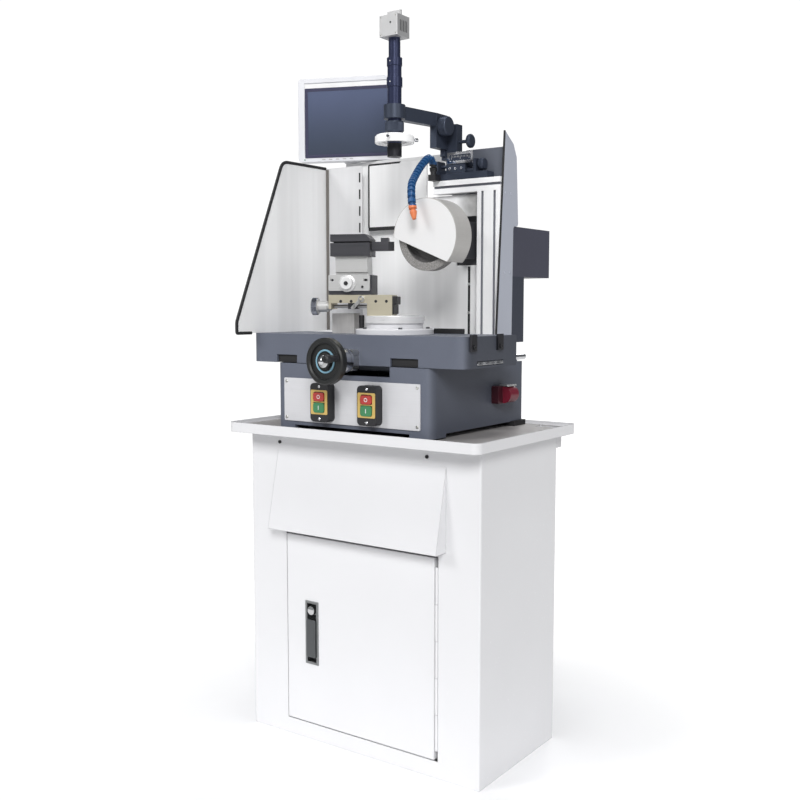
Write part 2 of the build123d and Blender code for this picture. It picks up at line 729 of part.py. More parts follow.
def latch_body():
    """Flush latch: a rimmed pan with the lever's pin and a round key button."""
    inside = (LATCH_WIDTH - 2 * LATCH_RIM - 2 * SLIP, LATCH_HEIGHT - 2 * LATCH_RIM - 2 * SLIP)
    depth = LATCH_FACE + LATCH_DEPTH
    rim = block(around(LATCH_X, LATCH_WIDTH), (LATCH_FACE, DOOR_FACE), around(LATCH_Z, LATCH_HEIGHT))
    pan = block(around(LATCH_X, inside[0]), (LATCH_FACE, depth), around(LATCH_Z, inside[1]))
    hollow = block(around(LATCH_X, inside[0] - 2 * SHEET), (LATCH_FACE - CUT, depth - SHEET),
                   around(LATCH_Z, inside[1] - 2 * SHEET))
    pin = rod_x(LATCH_PIN_RADIUS, around(LATCH_X, inside[0] - SHEET), LEVER_PIVOT_Y, LATCH_Z + LEVER_PIVOT)
    button = rod_y(LATCH_BUTTON_RADIUS, LATCH_X, (LEVER_FACE, depth - SHEET / 2), LATCH_Z + LATCH_BUTTON_Z)
    return rim + pan - hollow + pin + button


def latch_handle():
    """Lever of the flush latch, on the pin near its lower end."""
    pivot = LATCH_Z + LEVER_PIVOT
    lever = block(around(LATCH_X, LEVER_WIDTH), (LEVER_FACE, LEVER_FACE + LEVER_THICKNESS),
                  (pivot - LEVER_HEEL, LATCH_Z + LEVER_TOP))
    lever = fillet(lever.edges().filter_by(Axis.Y), LEVER_CORNER)
    return lever - rod_x(LATCH_PIN_RADIUS + RUN, around(LATCH_X, 2 * LEVER_WIDTH), LEVER_PIVOT_Y, pivot)


def drain_pipe_z():
    """Height of the drain pipe through the cabinet's back."""
    return CABINET_HEIGHT - DRAIN_BOX[2] + DRAIN_PIPE_RADIUS + 2 * SHEET


def chip_tray():
    """Shallow tray with a skirt, and a drain box behind the cabinet with its pipe to the tank."""
    def pan(inset, z):
        shape = block((-TRAY_WIDTH / 2 + inset, TRAY_WIDTH / 2 - inset),
                      around(TRAY_Y, TRAY_DEPTH - 2 * inset), z)
        return fillet(upright_edges(shape), TRAY_CORNER - inset)

    top = TRAY_FLOOR + TRAY_LIP
    bottom = CABINET_HEIGHT - TRAY_SKIRT
    tray = pan(0, (bottom, top)) - pan(TRAY_SHEET, (TRAY_FLOOR, top + CUT))
    tray -= pan(TRAY_SHEET, (bottom - CUT, CABINET_HEIGHT))
    width, depth, height = DRAIN_BOX
    box_x = around(DRAIN_X, width)
    box_y = (HALF_DEPTH + SHEET, HALF_DEPTH + SHEET + depth)
    low = CABINET_HEIGHT - height
    tray += block(box_x, box_y, (low, CABINET_HEIGHT))
    tray += drain_pipe(DRAIN_PIPE_RADIUS, box_y[0] + SHEET / 2, 0)
    tray -= block((box_x[0] + SHEET, box_x[1] - SHEET), (box_y[0] + SHEET, box_y[1] - SHEET),
                  (low + SHEET, TRAY_FLOOR + CUT))
    return tray - drain_pipe(DRAIN_PIPE_RADIUS - DRAIN_PIPE_WALL, box_y[0] + 2 * SHEET, CUT)


def drain_pipe(radius, start, extra):
    """The drain pipe as a solid bar, from y = start into the cabinet and down through the tank's lid."""
    y = HALF_DEPTH - DRAIN_PIPE_INSET
    z = drain_pipe_z()
    end = SHEET + TANK_HEIGHT - DRAIN_PIPE_DIP - extra
    run = FilletPolyline((DRAIN_X, start, z), (DRAIN_X, y, z), (DRAIN_X, y, end), radius=DRAIN_PIPE_BEND)
    section = Plane(origin=(DRAIN_X, start, z), z_dir=(0, -1, 0)) * Circle(radius)
    return sweep(section, path=run)


def tank_place():
    """The tank's x and y spans, in the right rear corner of the cabinet."""
    right = HALF_WIDTH - SHEET - TANK_GAP
    return (right - TANK_WIDTH, right), (SHEET + TANK_FRONT_GAP - HALF_DEPTH, HALF_DEPTH - SHEET - TANK_GAP)


def pump_place():
    """The pump's x and y."""
    x, y = tank_place()
    return x[0] + 2 * PUMP_RADIUS, sum(y) / 2


def coolant_tank():
    """Closed tank on the cabinet floor, with openings for the drain pipe and the pump."""
    x, y = tank_place()
    z = (SHEET, SHEET + TANK_HEIGHT)
    tank = block(x, y, z)
    tank -= block((x[0] + TANK_WALL, x[1] - TANK_WALL), (y[0] + TANK_WALL, y[1] - TANK_WALL),
                  (z[0] + TANK_WALL, z[1] - TANK_WALL))
    lid = (z[1] - TANK_WALL - CUT, z[1] + CUT)
    tank -= rod_z(DRAIN_PIPE_RADIUS + SLIP, DRAIN_X, HALF_DEPTH - DRAIN_PIPE_INSET, lid)
    pump_x, pump_y = pump_place()
    return tank - rod_z(PUMP_STEM_RADIUS + SLIP, pump_x, pump_y, lid)


def coolant_pump():
    """Immersion pump: a motor on a flange, with a stem down into the tank."""
    x, y = pump_place()
    top = SHEET + TANK_HEIGHT
    flange = PUMP_RADIUS + PUMP_FLANGE
    points = [(0, -PUMP_STEM_LENGTH), (PUMP_STEM_RADIUS, -PUMP_STEM_LENGTH), (PUMP_STEM_RADIUS, 0),
              (flange, 0), (flange, PUMP_FLANGE_HEIGHT), (PUMP_RADIUS, PUMP_FLANGE_HEIGHT),
              (PUMP_RADIUS, PUMP_HEIGHT - PUMP_CROWN), (PUMP_RADIUS - PUMP_CROWN, PUMP_HEIGHT),
              (0, PUMP_HEIGHT)]
    return turned(points, (x, y, top), (0, 0, 1))


def machine_base():
    """Hollow casting with arched lower edges, a notch for the feed bracket and the feed nut on top."""
    bottom = TRAY_FLOOR + FRONT_PAD
    half = BASE_WIDTH / 2
    base = block((-half, half), (BASE_FRONT, BASE_BACK), (bottom, BASE_TOP))
    base = fillet(upright_edges(base, y=-1), BASE_CORNER)
    base = fillet(upright_edges(base, y=1), BASE_REAR_CORNER)
    base -= block((-half + BASE_WALL, half - BASE_WALL), (BASE_FRONT + BASE_WALL, BASE_BACK - BASE_WALL),
                  (bottom - CUT, BASE_TOP - BASE_WALL))
    arch = (bottom - CUT, bottom + BASE_ARCH)
    base -= block((-half + FOOT_WIDTH, half - FOOT_WIDTH), (BASE_FRONT - CUT, BASE_BACK + CUT), arch)
    base -= block((-half - CUT, half + CUT), (BASE_FRONT + FOOT_WIDTH, BASE_BACK - FOOT_WIDTH), arch)
    base -= block((-half - CUT, half + CUT), (BASE_BACK - FOOT_WIDTH - CUT, BASE_BACK + CUT),
                  (bottom - CUT, TRAY_FLOOR + REAR_PAD))
    base -= block(NOTCH, (BASE_FRONT - CUT, BASE_FRONT + NOTCH_DEPTH),
                  (BASE_TOP - NOTCH_HEIGHT, BASE_TOP + CUT))
    width, depth, height = FEED_NUT
    base += block(around(FEED_X, width), around(FEED_NUT_Y, depth), (BASE_TOP, BASE_TOP + height))
    return base - rod_y(FEED_SCREW_RADIUS + THREAD, FEED_X, around(FEED_NUT_Y, 2 * depth), FEED_Z)


def base_feet():
    """Rubber pads: thin ones in front, thicker ones that show at the back corners."""
    half = BASE_WIDTH / 2
    front = around(BASE_FRONT + FOOT_WIDTH / 2, FOOT_WIDTH - PAD_INSET)
    back = (BASE_BACK - FOOT_WIDTH + PAD_INSET, BASE_BACK + PAD_PROUD)
    pads = []
    for side in (-1, 1):
        inner = side * (half - FOOT_WIDTH + PAD_INSET)
        front_x = sorted((inner, side * (half - PAD_EDGE)))
        back_x = sorted((inner, side * (half + PAD_PROUD)))
        pads.append(block(front_x, front, (TRAY_FLOOR, TRAY_FLOOR + FRONT_PAD)))
        pads.append(block(back_x, back, (TRAY_FLOOR, TRAY_FLOOR + REAR_PAD)))
    return Compound(children=[pad.solid() for pad in pads])


def way_outline(clearance, bottom):
    """Half outline of the dovetail ways, as (x, z) on the right side."""
    foot = WAY_HALF_WIDTH + clearance
    return [(foot, bottom), (foot + WAY_UNDERCUT, BASE_TOP + WAY_HEIGHT + clearance)]


def slideways():
    """Two dovetail bars on top of the base."""
    low, high = way_outline(0, BASE_TOP)
    inner = WAY_HALF_WIDTH - WAY_WIDTH
    bars = []
    for side in (-1, 1):
        outline = [low, high, (inner, high[1]), (inner, low[1])]
        bars.append(slab_y([(side * x, z) for x, z in outline], WAY).solid())
    return Compound(children=bars)


def saddle():
    """Table casting: a plate with skirts, a dovetail channel underneath and a stop block on top."""
    table = block((-SADDLE_END, SADDLE_END), (SADDLE_FRONT, SADDLE_BACK), (SADDLE_BOTTOM, SADDLE_TOP))
    table = fillet(upright_edges(table, y=-1), SADDLE_CORNER)
    ceiling = SADDLE_TOP - SADDLE_PLATE
    inner_y = (SADDLE_FRONT + SADDLE_WALL, SADDLE_BACK - SADDLE_WALL)
    for side in (-1, 1):
        pocket = sorted((side * SADDLE_RIB, side * (SADDLE_END - SADDLE_WALL)))
        table -= block(pocket, inner_y, (SADDLE_BOTTOM - CUT, ceiling))
    low, high = way_outline(SLIP, SADDLE_BOTTOM - CUT)
    channel = [low, high, (-high[0], high[1]), (-low[0], low[1])]
    table -= slab_y(channel, (inner_y[0], SADDLE_BACK + CUT))
    table -= block((-SADDLE_CAVITY, SADDLE_CAVITY), inner_y, (SADDLE_BOTTOM, ceiling))
    notch = (SADDLE_BOTTOM - CUT, SADDLE_BOTTOM + SKIRT_NOTCH_HEIGHT)
    for x in SKIRT_NOTCHES:
        table -= block(x, (SADDLE_FRONT - CUT, inner_y[0]), notch)
    slot = SADDLE_BOTTOM + SIDE_SLOT_LIFT
    end = (SADDLE_END - SADDLE_WALL - CUT, SADDLE_END + CUT)
    table -= block(end, SIDE_SLOT, (slot, slot + SIDE_SLOT_HEIGHT))
    front = (SADDLE_FRONT - CUT, inner_y[0] + CUT)
    table -= rod_y(FEED_SCREW_RADIUS + FEED_HOLE_CLEAR, FEED_X, front, FEED_Z)
    return table + block(STOP_BLOCK_X, STOP_BLOCK_Y, (SADDLE_TOP, SADDLE_TOP + STOP_BLOCK_HEIGHT))


def saddle_fittings():
    """Two clips on the saddle's right end, and the drain spout at its back."""
    thickness, width, height = CLIP
    pieces = []
    for y in CLIP_YS:
        z = (SADDLE_TOP - height, SADDLE_TOP + CLIP_LIFT)
        pieces.append(block((SADDLE_END, SADDLE_END + thickness), around(y, width), z).solid())
    z = SADDLE_BOTTOM + SADDLE_WALL + SPOUT_RADIUS
    end = SADDLE_BACK + SPOUT_LENGTH
    spout = rod_y(SPOUT_RADIUS, SPOUT_X, (SADDLE_BACK, end), z)
    spout -= rod_y(SPOUT_RADIUS - SHEET, SPOUT_X, (SADDLE_BACK + SHEET, end + CUT), z)
    pieces.append(spout.solid())
    return Compound(children=pieces)


def splash_guard():
    """Bent sheet on the saddle's left end: a wall with a raked front, and a slotted return at the back."""
    left = -SADDLE_END + GUARD_SHEET
    x = (left, left + GUARD_SHEET)
    top = SADDLE_TOP + GUARD_HEIGHT
    outline = [(GUARD_FRONT, SADDLE_TOP), (GUARD_FRONT, SADDLE_TOP + GUARD_LOW), (GUARD_TOP_FRONT, top),
               (GUARD_BACK, top), (GUARD_BACK, SADDLE_TOP)]
    wall = slab_x(outline, x)
    raked = wall.edges().filter_by(Axis.X).filter_by(lambda edge: edge.center().Y < GUARD_BACK - CUT)
    raked = raked.filter_by(lambda edge: edge.center().Z > SADDLE_TOP + CUT)
    wall = fillet(raked, GUARD_CORNER)
    end = x[0] + GUARD_RETURN
    guard = wall + block((x[0], end), (GUARD_BACK - GUARD_SHEET, GUARD_BACK), (SADDLE_TOP, top))
    width, length = GUARD_SLOT
    for i in range(GUARD_SLOTS):
        low = SADDLE_TOP + GUARD_SLOT_START * GUARD_HEIGHT + i * GUARD_SLOT_PITCH * length
        guard -= block((end - 2 * width, end - width), around(GUARD_BACK, 4 * GUARD_SHEET),
                       (low, low + length))
    return guard


def feed_bracket():
    """Bearing block of the feed screw, on the saddle's front."""
    width, depth, height = BRACKET
    body = block(around(FEED_X, width), (BRACKET_FRONT, SADDLE_FRONT), around(FEED_Z, height))
    body = chamfer(body.edges().filter_by(Axis.Y), BRACKET_CHAMFER)
    return body - rod_y(FEED_SCREW_RADIUS + RUN, FEED_X, (BRACKET_FRONT - CUT, SADDLE_FRONT + CUT), FEED_Z)


def handwheel():
    """Dished wheel with a hub and the crank's stud, and the graduated dial behind it."""
    front = HANDWHEEL_FRONT
    rim = HANDWHEEL_RADIUS - HANDWHEEL_RIM
    bore = FEED_SCREW_RADIUS + SEAT
    bevel = HANDWHEEL_BEVEL
    depth = HANDWHEEL_DEPTH
    hub_back = depth + HUB_PROUD
    web = (HANDWHEEL_DISH, HANDWHEEL_DISH + HANDWHEEL_WEB)
    points = [(bore, 0), (bore, hub_back), (HANDWHEEL_HUB_RADIUS, hub_back), (HANDWHEEL_HUB_RADIUS, web[1]),
              (rim, web[1]), (rim, depth - bevel), (rim + bevel, depth), (HANDWHEEL_RADIUS - bevel, depth),
              (HANDWHEEL_RADIUS, depth - bevel), (HANDWHEEL_RADIUS, bevel), (HANDWHEEL_RADIUS - bevel, 0),
              (rim + bevel, 0), (rim, bevel), (rim, web[0]), (HANDWHEEL_HUB_RADIUS, web[0]),
              (HANDWHEEL_HUB_RADIUS, 0)]
    wheel = turned(points, (FEED_X, front, FEED_Z), (0, 1, 0))
    stud = (front - CRANK_LENGTH - STUD_PROUD, front + HANDWHEEL_RIM)
    wheel += rod_y(CRANK_STUD_RADIUS, CRANK_X, stud, CRANK_Z)
    dial_front = HUB_PROUD + DIAL_GAP
    dial_back = WHEEL_GAP - DIAL_CLEAR
    dial = [(bore, dial_front), (bore, dial_back), (DIAL_RADIUS, dial_back),
            (DIAL_RADIUS, dial_front + DIAL_CONE), (DIAL_RADIUS - DIAL_BEVEL, dial_front)]
    ring = turned(dial, (FEED_X, HANDWHEEL_BACK, FEED_Z), (0, 1, 0))
    return Compound(children=[wheel.solid(), ring.solid()])


def feed_screw():
    """Feed screw from the handwheel through its bracket to the nut on the base, with an end cap in front."""
    screw = rod_y(FEED_SCREW_RADIUS, FEED_X, (HANDWHEEL_FRONT, FEED_SCREW_END), FEED_Z)
    rim = FEED_SCREW_RADIUS + CAP_RIM
    low, high, top = CAP_STEPS
    cap = [(0, 0), (rim, 0), (rim, low), (FEED_SCREW_RADIUS - CAP_NECK, high), (0, top)]
    return screw + turned(cap, (FEED_X, HANDWHEEL_FRONT, FEED_Z), (0, -1, 0))


def crank_handle():
    """Turning grip on the stud of the handwheel."""
    bore = CRANK_STUD_RADIUS + RUN
    tip = CRANK_LENGTH - CRANK_PLAY
    points = [(bore, CRANK_PLAY), (bore, tip), (0.55 * CRANK_RADIUS, tip),
              (0.9 * CRANK_RADIUS, CRANK_LENGTH - CRANK_ROUND), (CRANK_RADIUS, 0.7 * CRANK_LENGTH),
              (0.68 * CRANK_RADIUS, CRANK_FOOT), (0.75 * CRANK_RADIUS, CRANK_PLAY)]
    return turned(points, (CRANK_X, HANDWHEEL_FRONT, CRANK_Z), (0, -1, 0))


def rotary_base():
    """Flanged base of the rotary table, with the post of its clamp."""
    top = FLANGE_HEIGHT + NECK_HEIGHT
    bore = SPIGOT_RADIUS + RUN
    floor = top - SPIGOT_LENGTH - SPIGOT_CLEAR
    points = [(0, 0), (FLANGE_RADIUS, 0), (FLANGE_RADIUS, FLANGE_HEIGHT - FLANGE_BEVEL),
              (FLANGE_RADIUS - FLANGE_BEVEL, FLANGE_HEIGHT), (NECK_RADIUS, FLANGE_HEIGHT), (NECK_RADIUS, top),
              (bore, top), (bore, floor), (0, floor)]
    base = turned(points, (AXIS_X, AXIS_Y, SADDLE_TOP), (0, 0, 1))
    reach = FLANGE_RADIUS - CLAMP_POST_RADIUS - CLAMP_POST_EDGE
    post_x = AXIS_X + reach * cos(radians(CLAMP_POST_ANGLE))
    post_y = AXIS_Y + reach * sin(radians(CLAMP_POST_ANGLE))
    foot = SADDLE_TOP + FLANGE_HEIGHT
    post = rod_z(CLAMP_POST_RADIUS, post_x, post_y, (foot, foot + CLAMP_POST_HEIGHT))
    return Compound(children=[base.solid(), post.solid()])


def rotary_table():
    """Turning disc with its spigot."""
    points = [(0, -SPIGOT_LENGTH), (SPIGOT_RADIUS, -SPIGOT_LENGTH), (SPIGOT_RADIUS, 0), (ROTARY_RADIUS, 0),
              (ROTARY_RADIUS, ROTARY_HEIGHT - ROTARY_BEVEL), (ROTARY_RADIUS - ROTARY_BEVEL, ROTARY_HEIGHT),
              (0, ROTARY_HEIGHT)]
    return turned(points, (AXIS_X, AXIS_Y, ROTARY_BOTTOM), (0, 0, 1))


def swung(piece):
    """A piece of the work holder, swung about the rotary table's axis to where it rests."""
    return Pos(AXIS_X, AXIS_Y, 0) * Rot(0, 0, WORK_TURN) * Pos(-AXIS_X, -AXIS_Y, 0) * piece


def slide_bed():
    """Bed of the lower slide: a block on the disc, two rails and an end plate with the screw's bearing."""
    bed = block((BED_SPLIT, BED_RIGHT), (BED_FRONT, BED_BACK), (BED_BOTTOM, BED_TOP))
    rail_z = (BED_TOP - RAIL_HEIGHT, BED_TOP)
    bed += block((BED_LEFT, BED_SPLIT), (BED_FRONT, BED_FRONT + RAIL_WIDTH), rail_z)
    bed += block((BED_LEFT, BED_SPLIT), (BED_BACK - RAIL_WIDTH, BED_BACK), rail_z)
    bed += block((BED_LEFT - BED_END, BED_LEFT), (BED_FRONT, BED_BACK), (BED_TOP - BED_END_DROP, BED_TOP))
    screw = (BED_LEFT - BED_END - CUT, BED_SPLIT + SLIDE_SCREW_SEAT + CUT)
    bed -= rod_x(SLIDE_SCREW_RADIUS + RUN, screw, AXIS_Y, SLIDE_SCREW_Z)
    pin = (BED_FRONT - CLAMP_THICKNESS - CLAMP_PIN_PROUD, BED_FRONT + RAIL_WIDTH / 2)
    return bed + rod_y(CLAMP_PIN_RADIUS, LEVER_HUB_X, pin, BED_TOP - RAIL_HEIGHT / 2)


def clamp_lever():
    """Small lever that locks the lower slide."""
    z = BED_TOP - RAIL_HEIGHT / 2
    y = (BED_FRONT - SLIP - CLAMP_THICKNESS, BED_FRONT - SLIP)
    bar = block((0, CLAMP_LENGTH), y, around(0, CLAMP_BAR))
    bar = fillet(bar.edges().filter_by(Axis.Y), CLAMP_CORNER)
    lever = rod_y(LEVER_HUB_RADIUS, 0, y, 0) + bar
    lever = Pos(LEVER_HUB_X, 0, z) * Rot(0, -CLAMP_ANGLE, 0) * lever
    return lever - rod_y(CLAMP_PIN_RADIUS + RUN, LEVER_HUB_X, (y[0] - CUT, y[1] + CUT), z)


def slide_knob():
    """Knurled disc on a smaller neck, with the screw of the lower slide."""
    front = -KNOB_SHANK - KNOB_NECK
    end = front - KNOB_LENGTH
    tip = BED_SPLIT - BED_LEFT + BED_END + SLIDE_SCREW_SEAT
    face = KNOB_RADIUS - KNOB_BEVEL
    points = [(0, end), (face, end), (KNOB_RADIUS, end + KNOB_BEVEL), (KNOB_RADIUS, front - KNOB_BEVEL),
              (face, front), (KNOB_NECK_RADIUS, front), (KNOB_NECK_RADIUS, -KNOB_SHANK),
              (KNOB_SHANK_RADIUS, -KNOB_SHANK), (KNOB_SHANK_RADIUS, -SLIP),
              (SLIDE_SCREW_RADIUS, -SLIP), (SLIDE_SCREW_RADIUS, tip), (0, tip)]
    return turned(points, (BED_LEFT - BED_END, AXIS_Y, SLIDE_SCREW_Z), (1, 0, 0))


def ridge_outline(clearance, bottom):
    """Outline of the cross slide's dovetail ridge, as (x, z)."""
    foot = RIDGE_HALF_WIDTH + clearance
    head = foot + RIDGE_UNDERCUT
    top = LOWER_TOP + RIDGE_HEIGHT + clearance
    return [(RIDGE_X - foot, bottom), (RIDGE_X - head, top), (RIDGE_X + head, top), (RIDGE_X + foot, bottom)]


def lower_slide():
    """Lower slide: a plate with a nut below, a cheek at its right end and a dovetail ridge on top."""
    y = (BED_FRONT, LOWER_BACK)
    slide = block((LOWER_LEFT, LOWER_RIGHT), y, (LOWER_BOTTOM, LOWER_TOP))
    slide += block((LOWER_RIGHT - LOWER_CHEEK, LOWER_RIGHT), (BED_FRONT + LOWER_CHEEK_SETBACK, LOWER_BACK),
                   (LOWER_TOP, LOWER_TOP + LOWER_CHEEK_HEIGHT))
    slot = BED_WIDTH / 2 - RAIL_WIDTH - NUT_CLEAR
    slide += block(NUT_X, (AXIS_Y - slot, AXIS_Y + slot), (BED_TOP - BED_END_DROP, LOWER_BOTTOM))
    slide += slab_y(ridge_outline(0, LOWER_TOP), (BED_FRONT + RIDGE_ENDS[0], LOWER_BACK - RIDGE_ENDS[1]))
    return slide - rod_x(SLIDE_SCREW_RADIUS + THREAD, (NUT_X[0] - CUT, NUT_X[1] + CUT), AXIS_Y, SLIDE_SCREW_Z)


def slide_plate():
    """Front plate of the lower slide, with the dial's bearing and two slots."""
    x = (LOWER_LEFT, LOWER_LEFT + PLATE_WIDTH)
    plate = block(x, (PLATE_FRONT, BED_FRONT), (PLATE_BOTTOM, PLATE_BOTTOM + PLATE_HEIGHT))
    plate = fillet(plate.edges().filter_by(Axis.Y), PLATE_CORNER)
    through = (PLATE_FRONT - CUT, BED_FRONT + CUT)
    width, height = PLATE_SLOT
    for end in (x[0] + width, x[1] - width):
        plate -= block(around(end, width), through, around(DIAL_Z + PLATE_SLOT_LIFT, height))
    return plate - rod_y(DIAL_SHAFT_RADIUS + RUN, DIAL_X, through, DIAL_Z)


def dial_knob():
    """Dial with the screw of the cross slide."""
    tail = CROSS_Y[1] - DIAL_SHAFT_SHORT - PLATE_FRONT
    edge, foot = DIAL_FLANGE
    points = [(0, -DIAL_KNOB_DEPTH), (DIAL_GRIP_RADIUS, -DIAL_KNOB_DEPTH), (DIAL_GRIP_FOOT, -foot),
              (DIAL_KNOB_RADIUS, -edge), (DIAL_KNOB_RADIUS, -SLIP), (DIAL_SHAFT_RADIUS, -SLIP),
              (DIAL_SHAFT_RADIUS, tail), (0, tail)]
    return turned(points, (DIAL_X, PLATE_FRONT, DIAL_Z), (0, 1, 0))


def cross_slide():
    """Cross slide on the dovetail ridge, with the riser that carries the tool holder."""
    slide = block(CROSS_X, CROSS_Y, (CROSS_BOTTOM, RISER_BOTTOM))
    left, right = CROSS_X
    riser = [(left, RISER_BOTTOM), (left - RISER_LEAN, RISER_TOP), (right - RISER_LEAN, RISER_TOP),
             (right, RISER_BOTTOM)]
    slide += slab_y(riser, (CROSS_Y[0] - RISER_OVERHANG[0], CROSS_Y[1] + RISER_OVERHANG[1]))
    through = (CROSS_Y[0] - CUT, CROSS_Y[1] + CUT)
    slide -= slab_y(ridge_outline(SLIP, CROSS_BOTTOM - CUT), through)
    slide -= rod_y(DIAL_SHAFT_RADIUS + THREAD, DIAL_X, through, DIAL_Z)
    bore = (RISER_TOP - HOLDER_SPIGOT - CUT, RISER_TOP + CUT)
    return slide - rod_z(HOLDER_SPIGOT_RADIUS + RUN, HOLDER_PIVOT_X, AXIS_Y, bore)


def tool_holder():
    """Split clamp for the tool shank, turning on a spigot."""
    y = around(AXIS_Y, HOLDER_WIDTH)
    left, right = HOLDER_X
    outline = [(left, HOLDER_BOTTOM), (left, HOLDER_TOP), (right - HOLDER_CHAMFER, HOLDER_TOP),
               (right, HOLDER_TOP - HOLDER_CHAMFER), (right, HOLDER_BOTTOM)]
    holder = slab_y(outline, y)
    holder -= block((TOOL_TAIL - TOOL_SLOT_END, right + CUT), around(AXIS_Y, TOOL_SIZE + 2 * TOOL_CLEAR),
                    (TOOL_BOTTOM - TOOL_CLEAR, TOOL_TOP + TOOL_CLEAR))
    holder -= block((left - CUT, right + CUT), (y[0] - CUT, AXIS_Y), (TOOL_TOP - HOLDER_SLIT, TOOL_TOP))
    spigot = (HOLDER_BOTTOM - HOLDER_SPIGOT, HOLDER_BOTTOM)
    return holder + rod_z(HOLDER_SPIGOT_RADIUS, HOLDER_PIVOT_X, AXIS_Y, spigot)


def tool_bit():
    """Square tool shank with a pointed tip and a clamp finger on top."""
    half = TOOL_SIZE / 2
    shoulder = TOOL_TIP - TOOL_POINT
    outline = [(TOOL_TAIL, AXIS_Y - half), (shoulder, AXIS_Y - half), (TOOL_TIP, AXIS_Y - TOOL_NOSE / 2),
               (TOOL_TIP, AXIS_Y + TOOL_NOSE / 2), (shoulder, AXIS_Y + half), (TOOL_TAIL, AXIS_Y + half)]
    tool = slab_z(outline, (TOOL_BOTTOM, TOOL_TOP))
    return tool + block(TOOL_CLAMP_X, around(AXIS_Y, TOOL_SIZE - 2 * TOOL_CLAMP_INSET),
                        (TOOL_TOP, TOOL_TOP + TOOL_CLAMP_HEIGHT))


def head_column():
    """Column with a tall window, whose cheeks guide the grinding head up and down."""
    column = block(COLUMN_X, COLUMN_Y, (BASE_TOP, COLUMN_TOP))
    column += block(COLUMN_X, (COLUMN_Y[0], COLUMN_Y[1] + COLUMN_FOOT_BACK),
                    (BASE_TOP, BASE_TOP + COLUMN_FOOT))
    window = (BASE_TOP + WINDOW_Z[0], BASE_TOP + WINDOW_Z[1])
    column -= block(around(SPINDLE_X, 2 * WINDOW_HALF_WIDTH), (COLUMN_Y[0] - CUT, COLUMN_Y[1] + CUT), window)
    return column - block(around(SPINDLE_X, 2 * (WINDOW_HALF_WIDTH + TONGUE)),
                          around(sum(COLUMN_Y) / 2, TONGUE_WIDTH), window)


def back_panel():
    """Splash panel in front of the column, stepped forward in its upper part, open around the head."""
    y = (COLUMN_Y[0] - BACK_SHEET, COLUMN_Y[0])
    step = BASE_TOP + BACK_STEP
    front = y[0] - BACK_STEP_DEPTH
    panel = block(PANEL_X, y, (BASE_TOP + BACK_LOW, step + BACK_SHEET))
    panel += block((PANEL_X[0], BACK_STEP_LEFT + BACK_STEP_DEPTH), y, (step, BASE_TOP + BACK_TOP))
    upper_x = (BACK_STEP_LEFT, PANEL_X[1])
    panel += block(upper_x, (front, y[1]), (step, step + BACK_SHEET))
    panel += block(upper_x, (front, front + BACK_SHEET), (step - BACK_STEP_LAP, BASE_TOP + BACK_TOP))
    left, low, high = BACK_WINDOW
    through = (front - CUT, y[1] + CUT)
    panel -= block((left, PANEL_X[1] + CUT), through, (BASE_TOP + low, BASE_TOP + high))
    beside, below = BEAM_GAP
    return panel - block((BEAM_LEFT - beside, PANEL_X[1] + CUT), through,
                         (BAR_TOP - below, BASE_TOP + BACK_TOP + CUT))


def side_panel():
    """Side plate at the right of the camera frame, with a return behind the stage."""
    outline = [(y, BASE_TOP + z) for y, z in SIDE_OUTLINE]
    plate = slab_x(outline, (SIDE_X - SIDE_SHEET, SIDE_X))
    bends = SIDE_OUTLINE[2:6]
    front = min(y for y, z in bends) - CUT
    low = BASE_TOP + min(z for y, z in bends) - CUT
    edges = plate.edges().filter_by(Axis.X).filter_by(lambda edge: edge.center().Y > front)
    plate = fillet(edges.filter_by(lambda edge: edge.center().Z > low), SIDE_CORNER)
    return plate + block((SIDE_RETURN_X, SIDE_X - SIDE_SHEET), (SIDE_RETURN_Y, SIDE_RETURN_Y + SIDE_SHEET),
                         (COLUMN_TOP, BASE_TOP + SIDE_RETURN_TOP))


def rear_cover():
    """Cover on the column's back: shallow below, deep around the stroke motor, flanged at its right."""
    front = COLUMN_Y[1]
    right = SIDE_X - SIDE_SHEET
    lift, depth = REAR_LOW

    def shell(y, z):
        outer = block((REAR_LEFT, right), (front, front + y), z)
        inner = block((REAR_LEFT + REAR_WALL, right - REAR_WALL), (front - CUT, front + y - REAR_WALL),
                      (z[0] + REAR_WALL, z[1] - REAR_WALL))
        return outer, inner

    low_outer, low_inner = shell(depth, (BASE_TOP + lift, BASE_TOP + REAR_STEP + 4 * REAR_WALL))
    high_outer, high_inner = shell(REAR_DEPTH, (BASE_TOP + REAR_STEP, BASE_TOP + REAR_TOP))
    cover = low_outer + high_outer - low_inner - high_inner
    return cover + block((right - REAR_WALL, right), (front - REAR_FLANGE, front + REAR_WALL),
                         (BASE_TOP + lift, BASE_TOP + REAR_TOP))


def stroke_motor():
    """Motor that drives the up and down stroke, on a plate across the column's back below the spindle."""
    z = BASE_TOP + STROKE_LIFT
    width, height, thickness = STROKE_PLATE
    plate = block(around(SPINDLE_X, width), (COLUMN_Y[1], COLUMN_Y[1] + thickness), around(z, height))
    points = [(0, 0), (STROKE_RADIUS, 0), (STROKE_RADIUS, STROKE_LENGTH - STROKE_BEVEL),
              (STROKE_RADIUS - STROKE_BEVEL, STROKE_LENGTH), (0, STROKE_LENGTH)]
    return plate + turned(points, (SPINDLE_X, COLUMN_Y[1] + thickness, z), (0, 1, 0))


